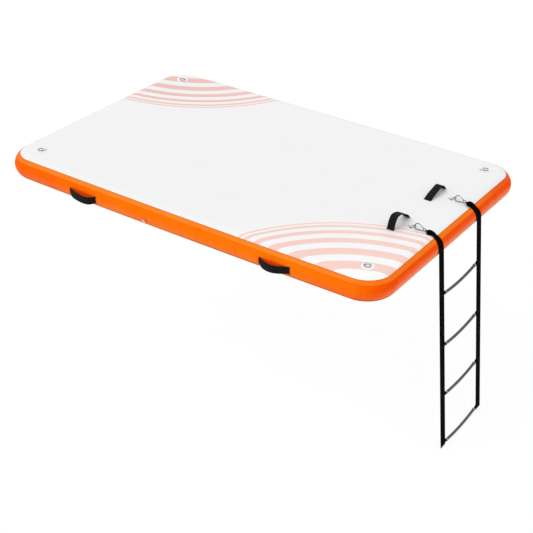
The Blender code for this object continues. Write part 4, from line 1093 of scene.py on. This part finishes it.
def make_tie_base(word, place, node):
    """A round welded patch with its folded and sewn tab."""
    rim = ((0.3, 0), (0, 0.3), (0.5, 0.9), (1.5, PATCH_GAUGE / MM), (6, PATCH_GAUGE / MM))
    profile = [(0, 0)] + [(PATCH_RADIUS - inset * MM, height * MM) for inset, height in rim]
    disc = turned(node, profile + [(0, PATCH_GAUGE)], 64)
    add_piece(f"{word}_disc", placed(disc, place), "patch", "dock", [node])
    stations = [(x, 0, z, 0, 1, 0, TAB_WIDTH, TAB_GAUGE) for x, z in tab_line()]
    add_piece(f"{word}_tab", placed(strap("tab", stations), place), "white_web", "dock")

    def on_tab(a, b):
        start = -BAR_SETBACK - TAB_LENGTH + TAB_TACK[1]
        return tuple(place @ Vector((start + b, a, PATCH_GAUGE + 2 * TAB_GAUGE + TAB_FOLD_GAP)))

    half = TAB_WIDTH / 2 - TAB_TACK[0]
    lines = box_and_cross(on_tab, (-half, 0), (half, TAB_TACK[2]))
    stitches(f"{word}_stitches", lines, "white_thread", "dock")


def ring_place(base, tilt):
    """Where a ring lies: on its bar, with its bow so far up."""
    return base @ Matrix.Translation((-BAR_SETBACK, 0, BAR_HEIGHT)) @ Matrix.Rotation(-tilt, 4, "Y")


def make_ring(name, place, body, node):
    ring = placed(closed_rod("ring", ring_path(), RING_WIRE / 2), place)
    add_piece(name, ring, "steel", body, [node])


def make_corner_rings():
    """The four corner rings, each lying with its bow on its patch."""
    tilt = -math.asin((BAR_HEIGHT - PATCH_GAUGE - FIT_GAP - RING_WIRE / 2) / RING_REACH)
    for number, (sx, sy) in enumerate(((1, -1), (1, 1), (-1, 1), (-1, -1)), 1):
        seat = (sx * CORNER_RING_X, sy * CORNER_RING_Y, DECK_THICKNESS + FIT_GAP)
        place = frame_matrix(seat, (sx, sy, 0), (0, 0, 1))
        make_tie_base(f"corner_{number}", place, f"corner_patch_{number}")
        make_ring(f"corner_{number}_ring", ring_place(place, tilt), f"tie_ring_{number}",
                  f"corner_ring_{number}")


# Snap hooks.
HOOK_HALF = (HOOK_WIDTH - HOOK_ROD) / 2     # radius of the nose's middle line
EYE_END = HOOK_LENGTH - HOOK_ROD + 2 * HOOK_EYE_RADIUS - HOOK_EYE_ROD / 5   # from the nose's rod to the eye's


def anchor_places(side):
    """The places of a ladder ring's base, of the ring and of the hook through it."""
    x = LADDER_RING_LEFT_X if side < 0 else LADDER_RING_RIGHT_X
    y = ANCHOR_OFFSET + side * LADDER_RING_SPACING / 2
    base = Matrix.Translation((x + BAR_SETBACK, y, DECK_THICKNESS + FIT_GAP))
    ring = ring_place(base, math.radians(LADDER_RING_TILT))
    middle = ring @ Vector((RING_REACH - RING_WIRE / 2 - RING_PLAY + HOOK_HALF - HOOK_ROD / 2, 0, 0))
    run = EYE_END - HOOK_HALF
    skew = math.asin(HOOK_SKEW / run)
    dip = math.asin((middle.z - DECK_THICKNESS - EYE_HEIGHT) / run)
    ahead = Vector((math.cos(skew), -math.sin(skew), -math.tan(dip))).normalized()
    roll = Matrix.Rotation(math.radians(HOOK_ROLL), 4, "X")
    hook = frame_matrix(middle - ahead * HOOK_HALF, ahead, (0, 0, 1)) @ roll
    return base, ring, hook


def rounded_copy(node, cell, rounds):
    """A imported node's shape as one smooth cast or drawn surface, a little rounded at its edges."""
    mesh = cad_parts[node].data.copy()
    work = bmesh.new()
    work.from_mesh(mesh)
    bmesh.ops.remove_doubles(work, verts=work.verts, dist=0.002 * MM)
    work.to_mesh(mesh)
    work.free()
    holder = added(node, mesh)
    fine = holder.modifiers.new("fine", "REMESH")
    fine.mode, fine.voxel_size = "VOXEL", cell
    even = holder.modifiers.new("even", "SMOOTH")
    even.factor, even.iterations = 0.5, rounds
    made = bpy.data.meshes.new_from_object(holder.evaluated_get(bpy.context.evaluated_depsgraph_get()))
    holder.modifiers.clear()
    bpy.data.objects.remove(holder)
    return made


def on_shoulder(turn):
    """A point of a strap's middle line round the deck's end, so far up from level."""
    return SHOULDER + Vector((SHOULDER_WIDE * math.cos(turn), 0, SHOULDER_TALL * math.sin(turn)))


def strap_path(full, y):
    """A taut strap's middle line, its widths and the swing line's place.

    It runs straight to the shoulder, round it and down to the middle of the first section, and drifts
    aside to the rail on its way.
    """
    leave, down, turn = rail_line()
    out, up = (full.x - SHOULDER.x) / SHOULDER_WIDE, (full.z - SHOULDER.z) / SHOULDER_TALL
    start = math.atan2(up, out) - math.acos(min(1.0, 1 / math.hypot(out, up)))
    touch = on_shoulder(start)
    path = [full.lerp(touch, share) + Vector((0, 0, WEB_GAUGE * 2 * share * (1 - share)))
            for share in np.linspace(0, 1, 9)[:-1]]
    path += [on_shoulder(t) for t in np.linspace(start, turn, 17)]
    path += [leave + down * SWING_DROP * share for share in np.linspace(0, 1, 7)[1:]]
    swing = len(path) - 1
    runs = run_lengths(np.array([(point.x, point.z) for point in path]), False)
    for point, run in zip(path, runs):
        point.y = y + (full.y - y) * (1 - run / runs[-1]) ** STRAP_DRIFT_POWER
    path += [path[-1] + down * mid_section(1) * share for share in np.linspace(0, 1, 12)[1:]]
    runs = run_lengths(np.array([tuple(point) for point in path]), False)
    widths = []
    for point, run in zip(path, runs):
        share = held(run / runs[swing])
        opened = held(share / STRAP_OPENS)
        opened = opened * opened * (3 - 2 * opened)
        widths.append(RAIL_WIDTH * (STRAP_NARROW + (1 - STRAP_NARROW) * opened))
        point.y += (RAIL_WIDTH - widths[-1]) / 2 * STRAP_EDGE_SHARE * held(share / STRAP_EDGE_RUN)
    return path, widths, path[swing]


def levelled(i):
    """How far a strap has turned from its hook's lie to level, at a point of its path."""
    return held(STRAP_LEVEL + STRAP_LEVEL_STEP * i)


def make_shoulder_strap(word, side, hook):
    """The strap with its end folded round the hook's eye and sewn back on itself."""
    eye = hook @ Vector((EYE_END, 0, 0))
    ahead, across = (hook.to_3x3() @ Vector(axis) for axis in ((1, 0, 0), (0, 1, 0)))
    level, up = Vector((0, 1, 0)), ahead.cross(across)
    bore = HOOK_EYE_ROD / 2 + LOOP_CLEARANCE
    radius, thin = bore + LOOP_GAUGE / 2, LOOP_GAUGE
    full = eye + ahead * (bore + LOOP_GAUGE + STRAP_SPREAD)
    path, widths, swing = strap_path(full, LADDER_OFFSET + side * LADDER_SPACING / 2)
    rows = []

    def station(centre, share, width, gauge=thin):
        rows.append((*centre, *across.lerp(level, share).normalized(), width, gauge))

    def lifted(i):
        return (path[i + 1] - path[i]).cross(level).normalized()

    def spread(layer, steps):
        """Stations between the loop and the strap's full width, above or below the other layer."""
        for share, width in steps:
            place = eye + ahead * (radius + STRAP_SPREAD * share) + up * layer * thin * 0.6
            station(place, STRAP_LEVEL * share, widths[0] * width)

    for i in (6, 3, 1):
        station(path[i] + lifted(i) * thin * 1.05, levelled(i), widths[i] * 0.97)
    spread(-1, ((0.9, 0.97), *STRAP_STEPS[::-1]))
    for t in np.radians(range(-60, -301, -20)):
        station(eye + ahead * radius * math.cos(t) + up * radius * math.sin(t), 0, LOOP_WIDTH)
    spread(1, (*STRAP_STEPS, (0.9, 0.99)))
    for i, point in enumerate(path[1:], 1):
        station(point, levelled(i), widths[i], WEB_GAUGE)
    _, down, _ = rail_line()
    bend = ("dock", "ladder_1", swing - down * BEND_REACH, swing + down * BEND_REACH)
    name = f"shoulder_strap_{word}_webbing"
    add_piece(name, strap(name, eased(rows, 2)), "ladder_web", None, [f"shoulder_strap_{word}"], bend)

    def surface(a, b):
        i = min(int(b), 6)
        centre = path[i].lerp(path[i + 1], b - i)
        cross = across.lerp(level, levelled(b)).normalized()
        half = widths[i] / 2 - TACK_MARGIN
        return tuple(centre + cross * a * half - lifted(i) * (WEB_GAUGE / 2 + THREAD_LIFT))

    stitches(f"shoulder_strap_{word}_stitches", box_and_cross(surface, (-1, 1.6), (1, 5.5)),
             "black_thread", "dock")


def make_anchorage():
    """The ladder's two rings, hooks and shoulder straps."""
    for word, side in SIDES:
        base, ring, hook = anchor_places(side)
        make_tie_base(f"ladder_{word}", base, f"ladder_patch_{word}")
        make_ring(f"ladder_{word}_ring", ring, "dock", f"ladder_ring_{word}")
        for piece, body in ((f"snap_hook_{word}", "dock"), (f"snap_gate_{word}", f"gate_{word}")):
            mesh = rounded_copy(piece, STEEL_CELL, STEEL_ROUNDS)
            add_piece(piece + "_steel", mesh, "steel", body, [piece], sharp=180.0)
        make_shoulder_strap(word, side, hook)


# The ladder.
def rail_line():
    """Where a rail leaves the sidewall, and the direction in which it hangs."""
    lean = math.radians(LADDER_LEAN)
    turn = math.atan(SHOULDER_TALL / SHOULDER_WIDE * math.tan(lean))
    return on_shoulder(turn), Vector((math.sin(lean), 0, -math.cos(lean))), turn


def fold_line(number):
    """How far down the rails the hinge line at the top of a section lies, counted from the swing line."""
    return 0.0 if number == 0 else FIRST_RUNG_DROP + (number - 1) * RUNG_PITCH + FOLD_DROP


def on_rail(drop, side):
    """A point on a rail's middle line, so far below the swing line."""
    leave, down, _ = rail_line()
    return Vector((leave.x, LADDER_OFFSET + side * LADDER_SPACING / 2, leave.z)) + down * (SWING_DROP + drop)


def mid_section(number):
    """How far down the middle of a section lies, or the rail's end below the last rung."""
    if number > RUNG_COUNT:
        return fold_line(RUNG_COUNT) - FOLD_DROP + RAIL_TAIL
    return (fold_line(number - 1) + fold_line(number)) / 2


def make_rails():
    """Rail webbing in lengths from mid section to mid section."""
    for word, side in SIDES:
        for number in range(1, RUNG_COUNT + 1):
            last = number == RUNG_COUNT
            start, stop = mid_section(number), mid_section(number + 1)
            drops = np.linspace(start, stop, max(3, round((stop - start) / (6 * MM)) + 1))
            stations = [(*on_rail(d, side), 0, 1, 0, RAIL_WIDTH, WEB_GAUGE) for d in drops]
            name = f"rail_{number}_{word}_webbing"
            fold = fold_line(number)
            bend = None if last else (f"ladder_{number}", f"ladder_{number + 1}",
                                      on_rail(fold - BEND_REACH, side), on_rail(fold + BEND_REACH, side))
            add_piece(name, strap(name, stations), "ladder_web", f"ladder_{number}",
                      [f"rail_{number}_{word}"], bend)


def make_collar(place):
    """A moulded ring over a tube's end."""
    profile = [(RUNG_DIAMETER / 2 + r * MM, h * MM) for r, h in COLLAR_SECTION]
    return placed(turned("collar", profile, 32, True), place)


def make_rung(number):
    """A ribbed tube on its webbing band, which is sewn to the backs of the rails."""
    _, down, _ = rail_line()
    out = Vector((-down.z, 0, down.x))
    body, level = f"ladder_{number}", FIRST_RUNG_DROP + (number - 1) * RUNG_PITCH
    edge, back = LADDER_SPACING / 2 - RAIL_WIDTH / 2, -WEB_GAUGE - FIT_GAP
    half = edge - RUNG_END_INSET

    def at(y, drop=0.0, off=back):
        return on_rail(level + drop, 0) + out * off + Vector((0, y, 0))

    def sagging(y):
        return at(y, RUNG_SAG * (1 - held(abs(y) / half) ** 2))

    line = [tuple(sagging(y)) for y in np.linspace(-half, half, 41)]
    tube = grown(RIBBED_TUBE, f"rung_{number}_tube", [line], "rubber")
    add_piece(f"rung_{number}_tube", tube, "rubber", body, [f"rung_{number}"], sharp=180.0)
    collars = []
    for y in (COLLAR_INSET - half, half - COLLAR_INSET):
        onward = sagging(y + MM) - sagging(y - MM)
        collars.append(make_collar(frame_matrix(sagging(y), out, onward)))
    add_piece(f"rung_{number}_collars", joined("collars", collars), "collar", body)
    ends = edge + RAIL_WIDTH - RUNG_WEB_INSET
    stations = []
    for y in sorted({-ends, -edge, edge, ends, *np.linspace(-half, half, 21).tolist()}):
        share = held((abs(y) - half) / RUNG_END_INSET)
        tall = RUNG_CORE_HEIGHT + (RUNG_WEDGE_HEIGHT - RUNG_CORE_HEIGHT) * share
        stations.append((*sagging(y), *down, tall, WEB_GAUGE))
    name = f"rung_strap_{number}_webbing"
    add_piece(name, strap(name, stations), "ladder_web", body, [f"rung_strap_{number}"])
    lines = []
    for side in (-1, 1):
        for face in (WEB_GAUGE / 2, back - WEB_GAUGE / 2):
            def surface(a, b, face=face, centre=side * LADDER_SPACING / 2):
                return tuple(at(centre + a, b, face))
            lines += box_and_cross(surface, (-RUNG_TACK[0], -RUNG_TACK[1]), RUNG_TACK)
    stitches(f"rung_{number}_stitches", lines, "black_thread", body)


# The air valve.
def valve_frame():
    """The valve's seat on the near sidewall, with its axis square to the surface."""
    lift = (VALVE_Z - DECK_THICKNESS / 2) / (DECK_THICKNESS / 2)
    normal = (0, -math.sqrt(1 - lift * lift) / SIDE_BULGE, lift / (DECK_THICKNESS / 2))
    return frame_matrix((VALVE_X, -side_y(VALVE_X, VALVE_Z), VALVE_Z), (1, 0, 0), normal)


def dress(node, look):
    """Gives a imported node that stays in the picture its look."""
    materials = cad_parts[node].data.materials
    materials.clear()
    materials.append(LOOKS[look][0])


def make_valve():
    """The valve's body and cap, with grip ribs round the rim and a raised bar to turn it by."""
    place = valve_frame()
    housing = rounded_copy("valve_body", HOUSING_CELL, HOUSING_ROUNDS)
    add_piece("valve_housing", housing, "valve", "dock", ["valve_body"], sharp=180.0)
    dress("valve_stem", "stem")
    rim, root = CAP_DIAMETER / 2, CAP_DIAMETER / 2 - CAP_RIB_DEPTH
    crown, under = VALVE_PROUD + FIT_GAP, VALVE_PROUD - CAP_DEPTH + FIT_GAP
    ceiling = under + CAP_DEPTH / 2
    dome = ((0.86, 0.5), (0.7, 0.62), (0.66, 0.5), (0.4, 0.72), (0, 0.8))   # shares of the rim and the dome
    lid = turned("lid", [
        (0, ceiling), (CAP_ROOM, ceiling), (CAP_ROOM, under), (root, under), (root, crown),
        (root + 0.2 * MM, crown + 0.8 * MM), *((rim * r, crown + CAP_DOME * h) for r, h in dome),
    ])
    reach, middle = root + 0.1 * MM, (under + crown) / 2 + 0.4 * MM
    circle = [(reach * math.cos(t), reach * math.sin(t), middle) for t in np.linspace(0, 2 * math.pi, 145)]
    ribs = grown(BEAD_ROW, "ribs", [circle], "valve", Pitch=CAP_RIB_PITCH, Bead_size=CAP_RIB_SIZE)
    add_piece("valve_cap_lid", placed(joined("valve_cap_lid", [lid, ribs]), place), "valve", "cap",
              ["valve_cap"])
    section = ((-1, 0), (-0.95, 0.6), (-0.6, 0.95), (0, 1), (0.6, 0.95), (0.95, 0.6), (1, 0))
    base, height = crown + 0.2 * MM, GRIP_HEIGHT + CAP_DOME * 0.9
    rows = []
    for x in np.linspace(-1, 1, 17):
        half = max(GRIP_WIDTH / 2 * (1 - abs(x) ** 6) ** 0.5, 0.4 * MM)
        rows.append([(x * GRIP_LENGTH / 2, a * half, base + b * height) for a, b in section])
    grip = placed(loft("grip", rows), place @ Matrix.Rotation(math.radians(GRIP_TURN), 4, "Z"))
    # The grip bar's near-white look is a painted glint.
    add_piece("valve_cap_grip", grip, "grip", "cap")


# Floor, light and background.
FLOOR_WHITE = (0.9, 0.9, 0.9, 1.0)
FLOOR_REACH = 60.0                      # from its middle to each side
FLOOR_DROP = 2 * MM                     # of the floor below the part
GLOW_LEVEL, GLOW_SHARE = 1.04, 0.84     # of the floor where it is seen directly
SKY_LEVEL = 0.86
SUN_LEVEL, SUN_SIZE, SUN_FROM = 0.75, 30.0, (-0.55, -0.65, 1.0)


def seen_directly(tree):
    """One where the camera sees the surface itself, or in a mirror or through glass."""
    path = add_node(tree, "ShaderNodeLightPath").outputs
    seen = add_node(tree, "ShaderNodeMath", [(0, path["Is Camera Ray"]), (1, path["Is Glossy Ray"])],
                    operation="MAXIMUM").outputs[0]
    return add_node(tree, "ShaderNodeMath", [(0, seen), (1, path["Is Transmission Ray"])],
                    operation="MAXIMUM").outputs[0]


def make_floor():
    """A plain white floor under the part, which keeps its shadow."""
    level = cad_box[0][2] - FLOOR_DROP
    corners = [(x * FLOOR_REACH, y * FLOOR_REACH, level) for x, y in ((-1, -1), (1, -1), (1, 1), (-1, 1))]
    mesh = bpy.data.meshes.new("floor")
    mesh.from_pydata(corners, [], [(0, 1, 2, 3)])
    material = bpy.data.materials.new("studio_floor")
    material.use_nodes = True
    tree = material.node_tree
    tree.nodes.clear()
    matt = add_node(tree, "ShaderNodeBsdfDiffuse", [("Color", FLOOR_WHITE)]).outputs[0]
    glow = add_node(tree, "ShaderNodeEmission", [("Color", (1, 1, 1, 1)), ("Strength", GLOW_LEVEL)])
    share = add_node(tree, "ShaderNodeMath", [(0, seen_directly(tree)), (1, GLOW_SHARE)],
                     operation="MULTIPLY").outputs[0]
    mixed = add_node(tree, "ShaderNodeMixShader", [(0, share), (1, matt), (2, glow.outputs[0])]).outputs[0]
    add_node(tree, "ShaderNodeOutputMaterial", [("Surface", mixed)])
    mesh.materials.append(material)
    floor = added("floor", mesh)


def set_light():
    """An even pale sky and one soft lamp."""
    world = bpy.data.worlds.new("studio")
    bpy.context.scene.world = world
    world.use_nodes = True
    tree = world.node_tree
    tree.nodes.clear()
    share = seen_directly(tree)
    level = add_node(tree, "ShaderNodeMapRange", [(0, share), (3, SKY_LEVEL), (4, 1.0)]).outputs[0]
    sky = add_node(tree, "ShaderNodeBackground", [("Color", (1, 1, 1, 1)), ("Strength", level)]).outputs[0]
    add_node(tree, "ShaderNodeOutputWorld", [("Surface", sky)])
    lamp = bpy.data.lights.new("window", "SUN")
    lamp.energy, lamp.angle = SUN_LEVEL, math.radians(SUN_SIZE)
    window = added("window", lamp)
    window.rotation_euler = Vector(SUN_FROM).to_track_quat("Z", "Y").to_euler()
    bpy.context.scene.view_settings.view_transform = "Standard"


set_camera()
make_chamber()
make_joint_patch()
make_handles()
make_corner_rings()
make_anchorage()
make_rails()
for rung in range(1, RUNG_COUNT + 1):
    make_rung(rung)
make_valve()
dress("drop_stitch_core", "core")
set_light()
make_floor()
